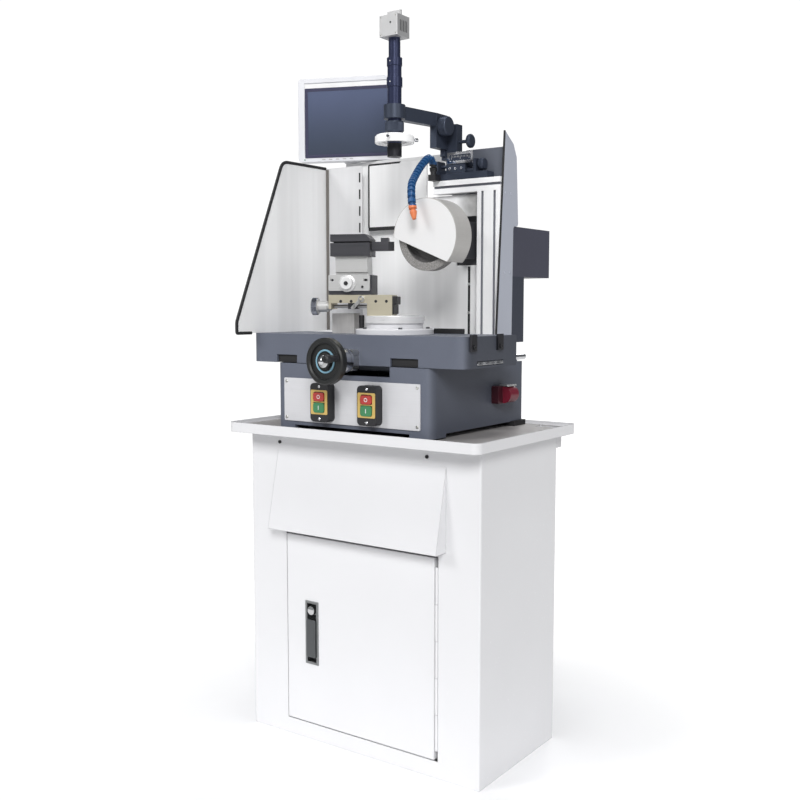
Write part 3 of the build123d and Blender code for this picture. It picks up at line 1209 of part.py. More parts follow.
def spindle_head():
    """Grinding head: a guided block in the column's window, a neck, the spindle's housing and a nose."""
    x = around(SPINDLE_X, 2 * (WINDOW_HALF_WIDTH - SLIP))
    z = around(SPINDLE_Z, 2 * HEAD_HALF_HEIGHT)
    mid = sum(COLUMN_Y) / 2
    head = block(x, (COLUMN_Y[0] + HEAD_CLEAR, COLUMN_Y[1] - HEAD_CLEAR), z)
    tongues = around(SPINDLE_X, 2 * (WINDOW_HALF_WIDTH + TONGUE - SLIP))
    head += block(tongues, around(mid, TONGUE_WIDTH - 2 * SLIP), z)
    neck = (SPINDLE_X + HEAD_NECK_X[0], SPINDLE_X + HEAD_NECK_X[1])
    head += block(neck, (HEAD_NECK_FRONT, COLUMN_Y[0] + 2 * HEAD_CLEAR),
                  around(SPINDLE_Z, 2 * HEAD_NECK_HALF_HEIGHT))
    head += rod_y(HOUSING_RADIUS, SPINDLE_X, (HOUSING_FRONT, HEAD_NECK_FRONT), SPINDLE_Z)
    head += rod_y(NOSE_RADIUS, SPINDLE_X, (COVER_BACK, HOUSING_FRONT), SPINDLE_Z)
    bore = (COVER_BACK - CUT, SPINDLE_TAIL + SPINDLE_TAIL_CLEAR)
    return head - rod_y(SPINDLE_RADIUS + RUN, SPINDLE_X, bore, SPINDLE_Z)


def wheel_guard():
    """Round cover over the wheel, cut off along a tilted chord so that the wheel shows below."""
    y = (COVER_FRONT, COVER_BACK)
    cover = rod_y(COVER_RADIUS, SPINDLE_X, y, SPINDLE_Z)
    cover -= rod_y(COVER_RADIUS - COVER_WALL, SPINDLE_X, (y[0] + COVER_SHEET, y[1] - COVER_SHEET), SPINDLE_Z)
    cover -= rod_y(COVER_BORE_RADIUS, SPINDLE_X, around(y[1], 4 * COVER_SHEET), SPINDLE_Z)
    size = 3 * COVER_RADIUS
    below = block((-size, size), (y[0] - CUT, y[1] + CUT), (-COVER_CHORD - size, -COVER_CHORD))
    return cover - Pos(SPINDLE_X, 0, SPINDLE_Z) * Rot(0, COVER_TILT, 0) * below


def grinding_wheel():
    """Cup wheel with its rim to the front."""
    inner = WHEEL_RADIUS - WHEEL_RIM_WIDTH
    bore = SPINDLE_RADIUS + SEAT
    web = WHEEL_DEPTH - WHEEL_WEB
    across, along = WHEEL_FILLET
    taper, back = WHEEL_BACK_TAPER
    points = [(bore, web), (inner - across, web), (inner, web - along), (inner, 0), (WHEEL_RADIUS, 0),
              (WHEEL_RADIUS, WHEEL_DEPTH - back), (WHEEL_RADIUS - taper, WHEEL_DEPTH), (bore, WHEEL_DEPTH)]
    return turned(points, (SPINDLE_X, WHEEL_FRONT, SPINDLE_Z), (0, 1, 0))


def spindle():
    """Spindle with the flanges that hold the wheel and the nut in front."""
    back = WHEEL_FRONT + WHEEL_DEPTH
    front = back - WHEEL_WEB
    nut = front - CLAMP_FLANGE - SPINDLE_NUT
    shaft = rod_y(SPINDLE_RADIUS, SPINDLE_X, (nut, SPINDLE_TAIL), SPINDLE_Z)
    shaft += rod_y(CLAMP_FLANGE_RADIUS, SPINDLE_X, (back, back + CLAMP_FLANGE), SPINDLE_Z)
    shaft += rod_y(CLAMP_FLANGE_RADIUS, SPINDLE_X, (front - CLAMP_FLANGE, front), SPINDLE_Z)
    hexagon = extrude(RegularPolygon(SPINDLE_NUT_RADIUS, 6), SPINDLE_NUT - SPINDLE_THREAD)
    nut_plane = Plane(origin=(SPINDLE_X, front - CLAMP_FLANGE, SPINDLE_Z), z_dir=(0, -1, 0))
    return shaft + nut_plane * hexagon


def camera_frame():
    """Post and beam of grooved aluminium bar."""
    front = (BAR_Y[0] - CUT, BAR_Y[0] + GROOVE_DEPTH)
    back = (BAR_Y[1] - GROOVE_DEPTH, BAR_Y[1] + CUT)
    middle = around(sum(BAR_Y) / 2, GROOVE)
    post = block(BAR_X, BAR_Y, (BASE_TOP, BAR_TOP))
    rise = (BASE_TOP - CUT, BAR_TOP + CUT)
    for x in around(sum(BAR_X) / 2, GROOVE_PITCH):
        post -= block(around(x, GROOVE), front, rise)
        post -= block(around(x, GROOVE), back, rise)
    post -= block((BAR_X[0] - CUT, BAR_X[0] + GROOVE_DEPTH), middle, rise)
    beam = block((BEAM_LEFT, BAR_X[1]), BAR_Y, (BAR_TOP, BEAM_TOP))
    length = (BEAM_LEFT - CUT, BAR_X[1] + CUT)
    height = around((BAR_TOP + BEAM_TOP) / 2, GROOVE)
    beam -= block(length, front, height)
    beam -= block(length, back, height)
    beam -= block(length, middle, (BAR_TOP - CUT, BAR_TOP + GROOVE_DEPTH))
    beam -= block(length, middle, (BEAM_TOP - GROOVE_DEPTH, BEAM_TOP + CUT))
    return Compound(children=[post.solid(), beam.solid()])


def stage_ridge(clearance, bottom):
    """Outline of the stage's dovetail ridge, as (y, z)."""
    foot = STAGE_RIDGE_HALF + clearance
    head = foot + STAGE_RIDGE_UNDERCUT
    top = STAGE_TOP + STAGE_RIDGE + clearance
    return [(STAGE_MID_Y - foot, bottom), (STAGE_MID_Y - head, top), (STAGE_MID_Y + head, top),
            (STAGE_MID_Y + foot, bottom)]


def stage_ends():
    """The x spans of the two end plates that carry the stage's screw."""
    return (STAGE_X[0], STAGE_X[0] + STAGE_END), (STAGE_END_RIGHT, STAGE_END_RIGHT + STAGE_END)


def stage_base():
    """Base of the camera stage, with a dovetail ridge and two end plates."""
    base = block(STAGE_X, STAGE_Y, (BEAM_TOP, STAGE_TOP))
    left, right = stage_ends()
    base += slab_x(stage_ridge(0, STAGE_TOP), (left[0], right[1]))
    for end in (left, right):
        base += block(end, STAGE_Y, (STAGE_TOP, BEAM_TOP + STAGE_END_HEIGHT))
    return base - rod_x(STAGE_SCREW_RADIUS + RUN, (left[0] - CUT, right[1] + CUT), STAGE_MID_Y, STAGE_SCREW_Z)


def stage_slide():
    """Stage carriage with the upright of the focus slide on top."""
    slide = block(CARRIAGE_X, STAGE_Y, (CARRIAGE_BOTTOM, CARRIAGE_TOP))
    through = (CARRIAGE_X[0] - CUT, CARRIAGE_X[1] + CUT)
    slide -= slab_x(stage_ridge(SLIP, CARRIAGE_BOTTOM - CUT), through)
    slide -= rod_x(STAGE_SCREW_RADIUS + THREAD, through, STAGE_MID_Y, STAGE_SCREW_Z)
    foot_top = CARRIAGE_TOP + UPRIGHT_FOOT
    slide += block((UPRIGHT_X[0], CARRIAGE_X[1] - UPRIGHT_FOOT_SHORT), UPRIGHT_Y, (CARRIAGE_TOP, foot_top))
    slide += block(UPRIGHT_X, UPRIGHT_Y, (CARRIAGE_TOP, UPRIGHT_TOP))
    slide += slab_z(tongue_outline(0, UPRIGHT_Y[0]), (foot_top, UPRIGHT_TOP))
    thumb = rod_x(THUMB_SHAFT_RADIUS + RUN, (UPRIGHT_X[1] - THUMB_SEAT - CUT, UPRIGHT_X[1] + CUT),
                  sum(UPRIGHT_Y) / 2, CARRIAGE_TOP + THUMB_LIFT)
    return slide - thumb


def tongue_outline(clearance, back):
    """Outline of the focus slide's dovetail tongue, as (x, y)."""
    foot = UPRIGHT_TONGUE_HALF + clearance
    head = foot + UPRIGHT_TONGUE_UNDERCUT
    front = UPRIGHT_Y[0] - UPRIGHT_TONGUE - clearance
    return [(UPRIGHT_MID_X - foot, back), (UPRIGHT_MID_X - head, front), (UPRIGHT_MID_X + head, front),
            (UPRIGHT_MID_X + foot, back)]


def stage_knob():
    """Stage screw with a knob at each end."""
    left, right = stage_ends()
    gap = STAGE_KNOB_GAP
    ends = (left[0] - gap - STAGE_KNOB, right[1] + gap + STAGE_KNOB)
    screw = rod_x(STAGE_SCREW_RADIUS, ends, STAGE_MID_Y, STAGE_SCREW_Z)
    for span in ((ends[0], ends[0] + STAGE_KNOB), (ends[1] - STAGE_KNOB, ends[1])):
        knob = rod_x(STAGE_KNOB_RADIUS, span, STAGE_MID_Y, STAGE_SCREW_Z)
        screw += chamfer(knob.edges(), STAGE_KNOB_BEVEL)
    return screw


def focus_arm():
    """Focus carriage with the arm and the clamp ring of the lens."""
    body = block(FOCUS_X, (FOCUS_FRONT, FOCUS_BACK), (FOCUS_BOTTOM, FOCUS_TOP))
    body -= slab_z(tongue_outline(SLIP, UPRIGHT_Y[0] + CUT), (FOCUS_BOTTOM - CUT, FOCUS_TOP + CUT))
    half = ARM_WIDTH / 2
    near = AXIS_Y + RING_RADIUS - ARM_LAP
    far = FOCUS_FRONT + ARM_LAP
    outline = [(FOCUS_X[0], far), (AXIS_X - half, near), (AXIS_X + half, near), (FOCUS_X[1], far)]
    arm = slab_z(outline, (FOCUS_TOP - ARM_THICKNESS, FOCUS_TOP))
    ring = rod_z(RING_RADIUS, AXIS_X, AXIS_Y, around(RING_Z, RING_HEIGHT))
    body = body + arm + ring - rod_z(TUBE_RADIUS + SEAT, AXIS_X, AXIS_Y, around(RING_Z, 2 * RING_HEIGHT))
    shaft = (FOCUS_X[0] - CUT, FOCUS_X[1] + CUT)
    return body - rod_x(FOCUS_SHAFT_RADIUS + RUN, shaft, FOCUS_SHAFT_Y, FOCUS_SHAFT_Z)


def focus_knob():
    """Focus shaft through the carriage, with a knob at its right end."""
    face = FOCUS_X[1] + FOCUS_KNOB_GAP
    end = face + FOCUS_KNOB
    shaft = rod_x(FOCUS_SHAFT_RADIUS, (FOCUS_X[0], end), FOCUS_SHAFT_Y, FOCUS_SHAFT_Z)
    knob = rod_x(FOCUS_KNOB_RADIUS, (face, end), FOCUS_SHAFT_Y, FOCUS_SHAFT_Z)
    return shaft + fillet(knob.edges(), FOCUS_KNOB_ROUND)


def thumb_screw():
    """Clamp screw at the right of the upright."""
    end = THUMB_REACH + THUMB_HEAD
    low, high = THUMB_BEVELS
    points = [(0, -THUMB_SEAT), (THUMB_SHAFT_RADIUS, -THUMB_SEAT), (THUMB_SHAFT_RADIUS, THUMB_REACH),
              (THUMB_RADIUS - low, THUMB_REACH), (THUMB_RADIUS, THUMB_REACH + low),
              (THUMB_RADIUS, end - high), (THUMB_RADIUS - high, end), (0, end)]
    return turned(points, (UPRIGHT_X[1], sum(UPRIGHT_Y) / 2, CARRIAGE_TOP + THUMB_LIFT), (1, 0, 0))


def lens_tube():
    """Zoom lens: tip, lower barrel, seat of the zoom ring, tube with collars, and the camera's adapter."""
    zoom_top = ZOOM_BOTTOM + ZOOM_HEIGHT
    light_top = LIGHT_BOTTOM + LIGHT_HEIGHT
    points = [(0, LENS_TIP + LENS_TIP_DISH), (LENS_TIP_RADIUS - LENS_TIP_RIM, LENS_TIP),
              (LENS_TIP_RADIUS, LENS_TIP), (LENS_TIP_RADIUS, light_top), (LENS_RADIUS, light_top),
              (LENS_RADIUS, ZOOM_BOTTOM - SLIP),
              (ZOOM_SEAT_RADIUS, ZOOM_BOTTOM - SLIP), (ZOOM_SEAT_RADIUS, zoom_top + SLIP),
              (TUBE_RADIUS, zoom_top + SLIP)]
    for low, high, radius in COLLARS:
        points += [(TUBE_RADIUS, low), (radius, low), (radius, high), (TUBE_RADIUS, high)]
    adapter = TUBE_TOP - ADAPTER_HEIGHT
    points += [(TUBE_RADIUS, adapter), (ADAPTER_RADIUS, adapter), (ADAPTER_RADIUS, TUBE_TOP), (0, TUBE_TOP)]
    unique = [point for i, point in enumerate(points) if i == 0 or point != points[i - 1]]
    return turned(unique, (AXIS_X, AXIS_Y, RING_Z), (0, 0, 1))


def zoom_ring():
    """Turning ring on the lens. It is slipped on from below the tube's shoulder in two halves."""
    bore = ZOOM_SEAT_RADIUS + RUN
    face = ZOOM_RADIUS - ZOOM_BEVEL
    points = [(bore, 0), (face, 0), (ZOOM_RADIUS, ZOOM_BEVEL), (ZOOM_RADIUS, ZOOM_HEIGHT - ZOOM_BEVEL),
              (face, ZOOM_HEIGHT), (bore, ZOOM_HEIGHT)]
    return turned(points, (AXIS_X, AXIS_Y, RING_Z + ZOOM_BOTTOM), (0, 0, 1))


def ring_light():
    """Ring light around the lens tip, with a sloped recess for the lamps on its underside."""
    bore = LENS_TIP_RADIUS + SEAT
    rim = LIGHT_RADIUS - LIGHT_RIM
    deep, shallow = LIGHT_RECESS
    points = [(bore, deep), (bore + LIGHT_SHOULDER, deep), (rim, shallow), (rim, 0),
              (LIGHT_RADIUS - LIGHT_EDGE, 0), (LIGHT_RADIUS, LIGHT_EDGE),
              (LIGHT_RADIUS, LIGHT_HEIGHT - LIGHT_SHOULDER), (LIGHT_RADIUS - LIGHT_SHOULDER, LIGHT_HEIGHT),
              (bore, LIGHT_HEIGHT)]
    return turned(points, (AXIS_X, AXIS_Y, RING_Z + LIGHT_BOTTOM), (0, 0, 1))


def camera():
    """Square camera with a fin on top."""
    body = block(around(AXIS_X, CAMERA_SIZE), around(AXIS_Y, CAMERA_SIZE),
                 (CAMERA_BOTTOM, CAMERA_BOTTOM + CAMERA_HEIGHT))
    body = fillet(body.edges().filter_by(Axis.Z), CAMERA_CORNER)
    width, thickness, height = CAMERA_FIN
    top = CAMERA_BOTTOM + CAMERA_HEIGHT
    return body + block(around(AXIS_X, width), around(AXIS_Y, thickness), (top, top + height))


def monitor_arm():
    """Arm from the column's top to the pin that the monitor turns on."""
    x, y = MONITOR_PIVOT
    depth = around(y, MONITOR_ARM)
    arm = block((MONITOR_ARM_X, MONITOR_ARM_X + MONITOR_ARM), depth, (COLUMN_TOP, MONITOR_BAR_TOP))
    arm += block((x - MONITOR_ARM / 2, MONITOR_ARM_X + MONITOR_ARM), depth,
                 (MONITOR_BAR_TOP - MONITOR_BAR, MONITOR_BAR_TOP))
    return arm + rod_z(MONITOR_PIN_RADIUS, x, y, (MONITOR_BAR_TOP, MONITOR_BAR_TOP + MONITOR_PIN))


def monitor():
    """Flat monitor with a recessed screen and a neck on its back, turned towards the operator."""
    low = MONITOR_BOTTOM
    y = (-MONITOR_REACH, MONITOR_DEPTH - MONITOR_REACH)
    case = block(around(0, MONITOR_WIDTH), y, (low, low + MONITOR_HEIGHT))
    case = fillet(case.edges().filter_by(Axis.Y), MONITOR_CORNER)
    screen = (low + SCREEN_LIFT, low + SCREEN_LIFT + SCREEN_HEIGHT)
    case -= block(around(0, SCREEN_WIDTH), (y[0] - CUT, y[0] + SCREEN_RECESS), screen)
    width, height = MONITOR_NECK
    neck_z = MONITOR_BAR_TOP + SLIP
    case += block(around(0, width), (y[1], width / 2), (neck_z, neck_z + height))
    case -= rod_z(MONITOR_PIN_RADIUS + RUN, 0, 0, (neck_z - CUT, MONITOR_BAR_TOP + MONITOR_PIN + CUT))
    return Pos(MONITOR_PIVOT[0], MONITOR_PIVOT[1], 0) * Rot(0, 0, MONITOR_YAW) * case


def hose_joints():
    """Ball centres of the hose, at even steps along a smooth curve through the route."""
    curve = Spline(*[(BEAM_LEFT + x, BAR_Y[0] + y, BEAM_TOP + z) for x, y, z in HOSE_ROUTE])
    count = int(curve.length / LINK_PITCH)
    return [curve @ (i * LINK_PITCH / curve.length) for i in range(count + 1)]


def hose_link(start, end):
    """One link: a ball at its start, a neck, and a socket for the next ball at its end."""
    pitch = (end - start).length
    inner = LINK_BALL + LINK_PLAY
    ball_start = sqrt(LINK_BALL ** 2 - LINK_BORE ** 2)
    ball_end = sqrt(LINK_BALL ** 2 - LINK_NECK ** 2)
    mouth = sqrt(inner ** 2 - LINK_LIP ** 2)
    floor = sqrt(inner ** 2 - LINK_BORE ** 2)
    flare = pitch - LINK_BALL
    edges = [
        ThreePointArc((LINK_BORE, -ball_start), (LINK_BALL, 0), (LINK_NECK, ball_end)),
        Polyline((LINK_NECK, ball_end), (LINK_NECK, flare - LINK_FLARE), (LINK_RADIUS, flare),
                 (LINK_RADIUS, pitch + LINK_LIP), (mouth, pitch + LINK_LIP)),
        ThreePointArc((mouth, pitch + LINK_LIP), (inner, pitch), (LINK_BORE, pitch - floor)),
        Line((LINK_BORE, pitch - floor), (LINK_BORE, -ball_start)),
    ]
    profile = Plane.XZ * make_face([edge for part in edges for edge in part.edges()])
    return Plane(origin=start, z_dir=end - start) * revolve(profile, Axis.Z)


def hose_base():
    """Fitting at the front of the stage's base and the hose links that stay put."""
    joints = hose_joints()
    first = joints[0]
    width, depth, height = HOSE_BLOCK
    top = BEAM_TOP + height
    body = block(around(first.X, width), (STAGE_Y[0] - depth, STAGE_Y[0]), (BEAM_TOP, top))
    body += rod_z(LINK_RADIUS - HOSE_STEM, first.X, first.Y, (top, first.Z - LINK_BALL))
    before = first - (joints[1] - first)
    body += hose_link(before, first)
    body += Pos(before.X, before.Y, before.Z) * Sphere(LINK_BALL)
    links = [hose_link(a, b).solid() for a, b in zip(joints[:-HOSE_TIP_LINKS - 1], joints[1:-HOSE_TIP_LINKS])]
    return Compound(children=[body.solid()] + links)


def hose_tip():
    """The hose links that swing together, and the nozzle at their end."""
    joints = hose_joints()[-HOSE_TIP_LINKS - 1:]
    links = [hose_link(a, b).solid() for a, b in zip(joints[:-1], joints[1:])]
    end = joints[-1]
    direction = joints[-1] - joints[-2]
    ball_start = sqrt(LINK_BALL ** 2 - LINK_BORE ** 2)
    ball_end = sqrt(LINK_BALL ** 2 - LINK_NECK ** 2)
    bore = NOZZLE_TIP_RADIUS - NOZZLE_WALL
    neck, low, high = NOZZLE_STEPS
    edges = [
        ThreePointArc((LINK_BORE, -ball_start), (LINK_BALL, 0), (LINK_NECK, ball_end)),
        Polyline((LINK_NECK, ball_end), (LINK_NECK, neck), (NOZZLE_SHOULDER, low), (NOZZLE_SHOULDER, high),
                 (NOZZLE_TIP_RADIUS, NOZZLE_LENGTH), (bore, NOZZLE_LENGTH), (bore, low),
                 (LINK_BORE, -ball_start)),
    ]
    profile = Plane.XZ * make_face([edge for part in edges for edge in part.edges()])
    nozzle = Plane(origin=end, z_dir=direction) * revolve(profile, Axis.Z)
    return Compound(children=links + [nozzle.solid()])


def switch_panel():
    """Plate on the base's front that carries the switches."""
    low = TRAY_FLOOR + PANEL_BOTTOM
    plate = block(around(0, PANEL_WIDTH), (PANEL_FACE, BASE_FRONT), (low, low + PANEL_HEIGHT))
    return fillet(plate.edges().filter_by(Axis.Y), PANEL_CORNER)


def switch_centres():
    """The x of the two switches."""
    return around(0, SWITCH_SPACING)


def button_spans(side, height, lift):
    """The x and z spans of one push button; side is 0 for the left switch and 1 for the right one."""
    x = switch_centres()[side]
    z = TRAY_FLOOR + SWITCH_BOTTOM + lift
    return around(x, BUTTON_WIDTH), around(z, height)


def switch_housings():
    """Two switch housings with rounded ears, and a pocket for each button."""
    pieces = []
    low = TRAY_FLOOR + SWITCH_BOTTOM
    for side, x in enumerate(switch_centres()):
        body = block(around(x, SWITCH_WIDTH), (SWITCH_FACE, PANEL_FACE), (low, low + SWITCH_HEIGHT))
        body = fillet(body.edges().filter_by(Axis.Y), SWITCH_EAR)
        for height, lift in ((STOP_HEIGHT, STOP_Z), (START_HEIGHT, START_Z)):
            across, up = button_spans(side, height, lift)
            body -= block((across[0] - SLIP, across[1] + SLIP),
                          (SWITCH_FACE - CUT, SWITCH_FACE + BUTTON_DEPTH), (up[0] - SLIP, up[1] + SLIP))
        pieces.append(body.solid())
    return Compound(children=pieces)


def push_button(side, height, lift):
    """One push button, proud of its housing and with its travel free behind it."""
    x, z = button_spans(side, height, lift)
    y = (SWITCH_FACE - BUTTON_PROUD, SWITCH_FACE + BUTTON_DEPTH - BUTTON_TRAVEL - SLIP)
    button = block(x, y, z)
    return fillet(button.edges().filter_by(Axis.Y), BUTTON_CORNER)


def power_inlet():
    """Angled power inlet on the base's right side: a mounting box and a round shroud open to the back."""
    depth, width, height = INLET_BASE
    side = BASE_WIDTH / 2
    z = TRAY_FLOOR + INLET_Z
    housing = block((side, side + depth), around(INLET_Y, width), around(z, height))
    housing = fillet(housing.edges().filter_by(Axis.X), INLET_CORNER)
    x = side + INLET_RADIUS + INLET_STANDOFF
    y = (INLET_Y + width / 2, INLET_Y + width / 2 + INLET_LENGTH)
    floor = y[0] + INLET_WALL
    shroud = rod_y(INLET_RADIUS, x, y, z)
    shroud -= rod_y(INLET_RADIUS - INLET_WALL, x, (floor, y[1] + CUT), z)
    for i in range(INLET_PINS):
        angle = radians(360 * (i + 0.5) / INLET_PINS)
        pin_x = x + INLET_RADIUS / 2 * cos(angle)
        pin_z = z + INLET_RADIUS / 2 * sin(angle)
        shroud += rod_y(INLET_PIN_RADIUS, pin_x, (floor, y[1] - INLET_PIN_RECESS), pin_z)
    return Compound(children=[housing.solid(), shroud.solid()])


PARTS = {
    "cabinet_shell": cabinet_shell,
    "door_hinge": door_hinge,
    "cabinet_door": cabinet_door,
    "latch_body": latch_body,
    "latch_handle": latch_handle,
    "chip_tray": chip_tray,
    "coolant_tank": coolant_tank,
    "coolant_pump": coolant_pump,
    "machine_base": machine_base,
    "base_feet": base_feet,
    "slideways": slideways,
    "switch_panel": switch_panel,
    "switch_housings": switch_housings,
    "wheel_stop_button": lambda: push_button(0, STOP_HEIGHT, STOP_Z),
    "wheel_start_button": lambda: push_button(0, START_HEIGHT, START_Z),
    "pump_stop_button": lambda: push_button(1, STOP_HEIGHT, STOP_Z),
    "pump_start_button": lambda: push_button(1, START_HEIGHT, START_Z),
    "power_inlet": power_inlet,
    "saddle": saddle,
    "saddle_fittings": saddle_fittings,
    "splash_guard": splash_guard,
    "feed_bracket": feed_bracket,
    "handwheel": handwheel,
    "feed_screw": feed_screw,
    "crank_handle": crank_handle,
    "rotary_base": rotary_base,
    "rotary_table": rotary_table,
    "slide_bed": lambda: swung(slide_bed()),
    "clamp_lever": lambda: swung(clamp_lever()),
    "slide_knob": lambda: swung(slide_knob()),
    "lower_slide": lambda: swung(lower_slide()),
    "slide_plate": lambda: swung(slide_plate()),
    "dial_knob": lambda: swung(dial_knob()),
    "cross_slide": lambda: swung(cross_slide()),
    "tool_holder": lambda: swung(tool_holder()),
    "tool_bit": lambda: swung(tool_bit()),
    "head_column": head_column,
    "back_panel": back_panel,
    "side_panel": side_panel,
    "rear_cover": rear_cover,
    "stroke_motor": stroke_motor,
    "spindle_head": spindle_head,
    "wheel_guard": wheel_guard,
    "grinding_wheel": grinding_wheel,
    "spindle": spindle,
    "camera_frame": camera_frame,
    "stage_base": stage_base,
    "stage_slide": stage_slide,
    "stage_knob": stage_knob,
    "focus_arm": focus_arm,
    "focus_knob": focus_knob,
    "thumb_screw": thumb_screw,
    "lens_tube": lens_tube,
    "zoom_ring": zoom_ring,
    "ring_light": ring_light,
    "camera": camera,
    "monitor_arm": monitor_arm,
    "monitor": monitor,
    "hose_base": hose_base,
    "hose_tip": hose_tip,
}


def main():
    os.makedirs("parts", exist_ok=True)
    for name, make in PARTS.items():
        export_step(make(), f"parts/{name}.step")


if __name__ == "__main__":
    main()
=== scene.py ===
# %% [markdown]
# # A tool grinder, dressed for its photograph
#
# The machine grinds the tips of lathe tools. A cup wheel turns under a white cover, the tool sits in a dark
# clamp on two crossed slides, and a camera looks straight down on its tip. The CAD model already holds
# every part at its real size and place, so this script adds only what a photograph shows on top of that:
# paint, ground steel, rubber edging, screws, scales and glass. Places are given in millimetres, as on a
# workshop drawing.

# %% Load the machine
from collections import namedtuple
from itertools import product

import bmesh
import bpy
import numpy as np
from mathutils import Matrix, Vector


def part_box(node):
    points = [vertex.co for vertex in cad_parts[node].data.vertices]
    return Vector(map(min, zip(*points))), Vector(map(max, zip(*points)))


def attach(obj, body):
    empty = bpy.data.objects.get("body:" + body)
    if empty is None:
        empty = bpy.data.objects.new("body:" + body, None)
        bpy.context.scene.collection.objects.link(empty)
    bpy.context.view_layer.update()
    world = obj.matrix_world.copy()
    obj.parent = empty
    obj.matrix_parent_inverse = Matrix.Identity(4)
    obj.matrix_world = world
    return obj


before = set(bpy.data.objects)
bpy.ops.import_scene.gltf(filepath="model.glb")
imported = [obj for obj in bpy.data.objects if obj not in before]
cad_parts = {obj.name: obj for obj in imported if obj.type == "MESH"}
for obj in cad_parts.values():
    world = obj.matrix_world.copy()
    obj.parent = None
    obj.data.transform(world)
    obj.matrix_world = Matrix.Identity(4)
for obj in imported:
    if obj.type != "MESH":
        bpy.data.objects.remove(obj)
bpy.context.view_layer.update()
MM = 0.001


def corners(node):
    """The lowest and highest corner of a CAD node at rest, in millimetres."""
    low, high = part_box(node)
    return np.array(low) / MM, np.array(high) / MM


# %% [markdown]
# ## The camera
# A product photograph is taken from well back with a long lens, so upright edges stay nearly parallel. The
# view is described by two angles round the machine, a distance and the lens. Angles are easier to read and
# to correct than a raw position, so the position is worked out from them.

# %% Set up the camera
AZIMUTH = np.radians(35.35)
ELEVATION = np.radians(5.22)
DISTANCE = 2.3965
AIM = Vector((-0.004, 0.0, 0.7987))
FOCAL_LENGTH_PX = 1019.4
IMAGE_WIDTH_PX = 800
SENSOR_WIDTH = 36.0

back = Vector((
    np.sin(AZIMUTH) * np.cos(ELEVATION),
    -np.cos(AZIMUTH) * np.cos(ELEVATION),
    np.sin(ELEVATION),
))
camera = bpy.data.objects.new("photo_camera", bpy.data.cameras.new("photo_camera"))
camera.location = AIM + back * DISTANCE
camera.rotation_euler = (-back).to_track_quat("-Z", "Y").to_euler()
camera.data.sensor_width = SENSOR_WIDTH
camera.data.lens = SENSOR_WIDTH * FOCAL_LENGTH_PX / IMAGE_WIDTH_PX
bpy.context.scene.collection.objects.link(camera)
bpy.context.scene.camera = camera
print("camera", round(camera.data.lens, 1), "mm lens at", [round(v, 3) for v in camera.location])

# %% [markdown]
# ## Shader maths as sums
# A finish is a small calculation for each point of a surface: how far along a scratch, how deep in the
# grain. Node by node that is hard to read, so one class wraps a socket and lets plain sums add the Math
# nodes. A second class holds a tree, and one of its methods makes every other kind of node from its
# settings and its inputs.

# %% Sockets that can be added and multiplied
class Value:
    """A number that changes over a surface. Each operator adds one Math node to its tree."""

    def __init__(self, tree, socket):
        self.tree = tree
        self.socket = socket

    def math(self, operation, first, second):
        return self.tree.node("Math", {"operation": operation}, {0: first, 1: second})

    def __add__(self, other):
        return self.math("ADD", self, other)

    def __sub__(self, other):
        return self.math("SUBTRACT", self, other)

    def __rsub__(self, other):
        return self.math("SUBTRACT", other, self)

    def __mul__(self, other):
        return self.math("MULTIPLY", self, other)

    def __gt__(self, other):
        return self.math("GREATER_THAN", self, other)

    def __lt__(self, other):
        return self.math("LESS_THAN", self, other)

    __radd__ = __add__
    __rmul__ = __mul__


class Tree:
    """A node tree. Its methods give back sockets as Values, so that they can be used in sums."""

    def __init__(self, tree):
        self.tree = tree
        self.place = None

    def node(self, kind, settings=(), inputs=(), output=0):
        made = self.tree.nodes.new("ShaderNode" + kind)
        for name, value in dict(settings).items():
            setattr(made, name, value)
        for key, value in dict(inputs).items():
            self.feed(made.inputs[key], value)
        return Value(self, made.outputs[output])

    def feed(self, socket, value):
        if isinstance(value, Value):
            self.tree.links.new(value.socket, socket)
        else:
            socket.default_value = value

    def spot(self):
        """The point's own place on the object, in metres."""
        if self.place is None:
            self.place = self.node("TexCoord", output="Object")
        return self.place

    def turned(self, angle):
        """The same tree with its places turned about z, for a part that stands at an angle."""
        self.place = self.node("Mapping", inputs={"Vector": self.spot(), "Rotation": (0.0, 0.0, -angle)})
        return self

    def axis(self, name):
        return self.node("SeparateXYZ", inputs={0: self.spot()}, output=name)

    def past(self, name, limit):
        """A mask: 1 where a point lies further along an axis than a limit in millimetres."""
        return self.axis(name) > limit * MM

    def short_of(self, name, limit):
        """A mask: 1 where a point lies less far along an axis than a limit in millimetres."""
        return self.axis(name) < limit * MM

    def between(self, name, low, high):
        return self.past(name, low) * self.short_of(name, high)

    def noise(self, scale, detail, stretch=(1.0, 1.0, 1.0)):
        """Smooth noise from 0 to 1, with scale waves in a metre, times stretch along each axis."""
        where = self.node("Mapping", inputs={"Vector": self.spot(), "Scale": stretch})
        return self.node("TexNoise", inputs={"Vector": where, "Scale": scale, "Detail": detail})

    def ramp(self, value, low, high):
        """A soft step: 0 below low, 1 above high."""
        settings = {"interpolation_type": "SMOOTHSTEP"}
        return self.node("MapRange", settings, {"Value": value, "From Min": low, "From Max": high})

    def mix(self, share, first, second):
        return self.node("Mix", {"data_type": "RGBA"}, {0: share, 6: first, 7: second}, output=2)


print("shader sums ready")

# %% [markdown]
# ## Floor and studio light
# The machine stands in a plain bright studio. A wide pale disc is the floor. Two large soft lamps stand in
# front and a third hangs above, so that fronts and tops are bright and the sides fall into a soft shade.
# Weak lamps at the right and behind keep the side and the back readable. Polished steel shows what is
# around it, so the surroundings run from bright overhead to grey at the horizon, while the camera itself
# sees plain white.

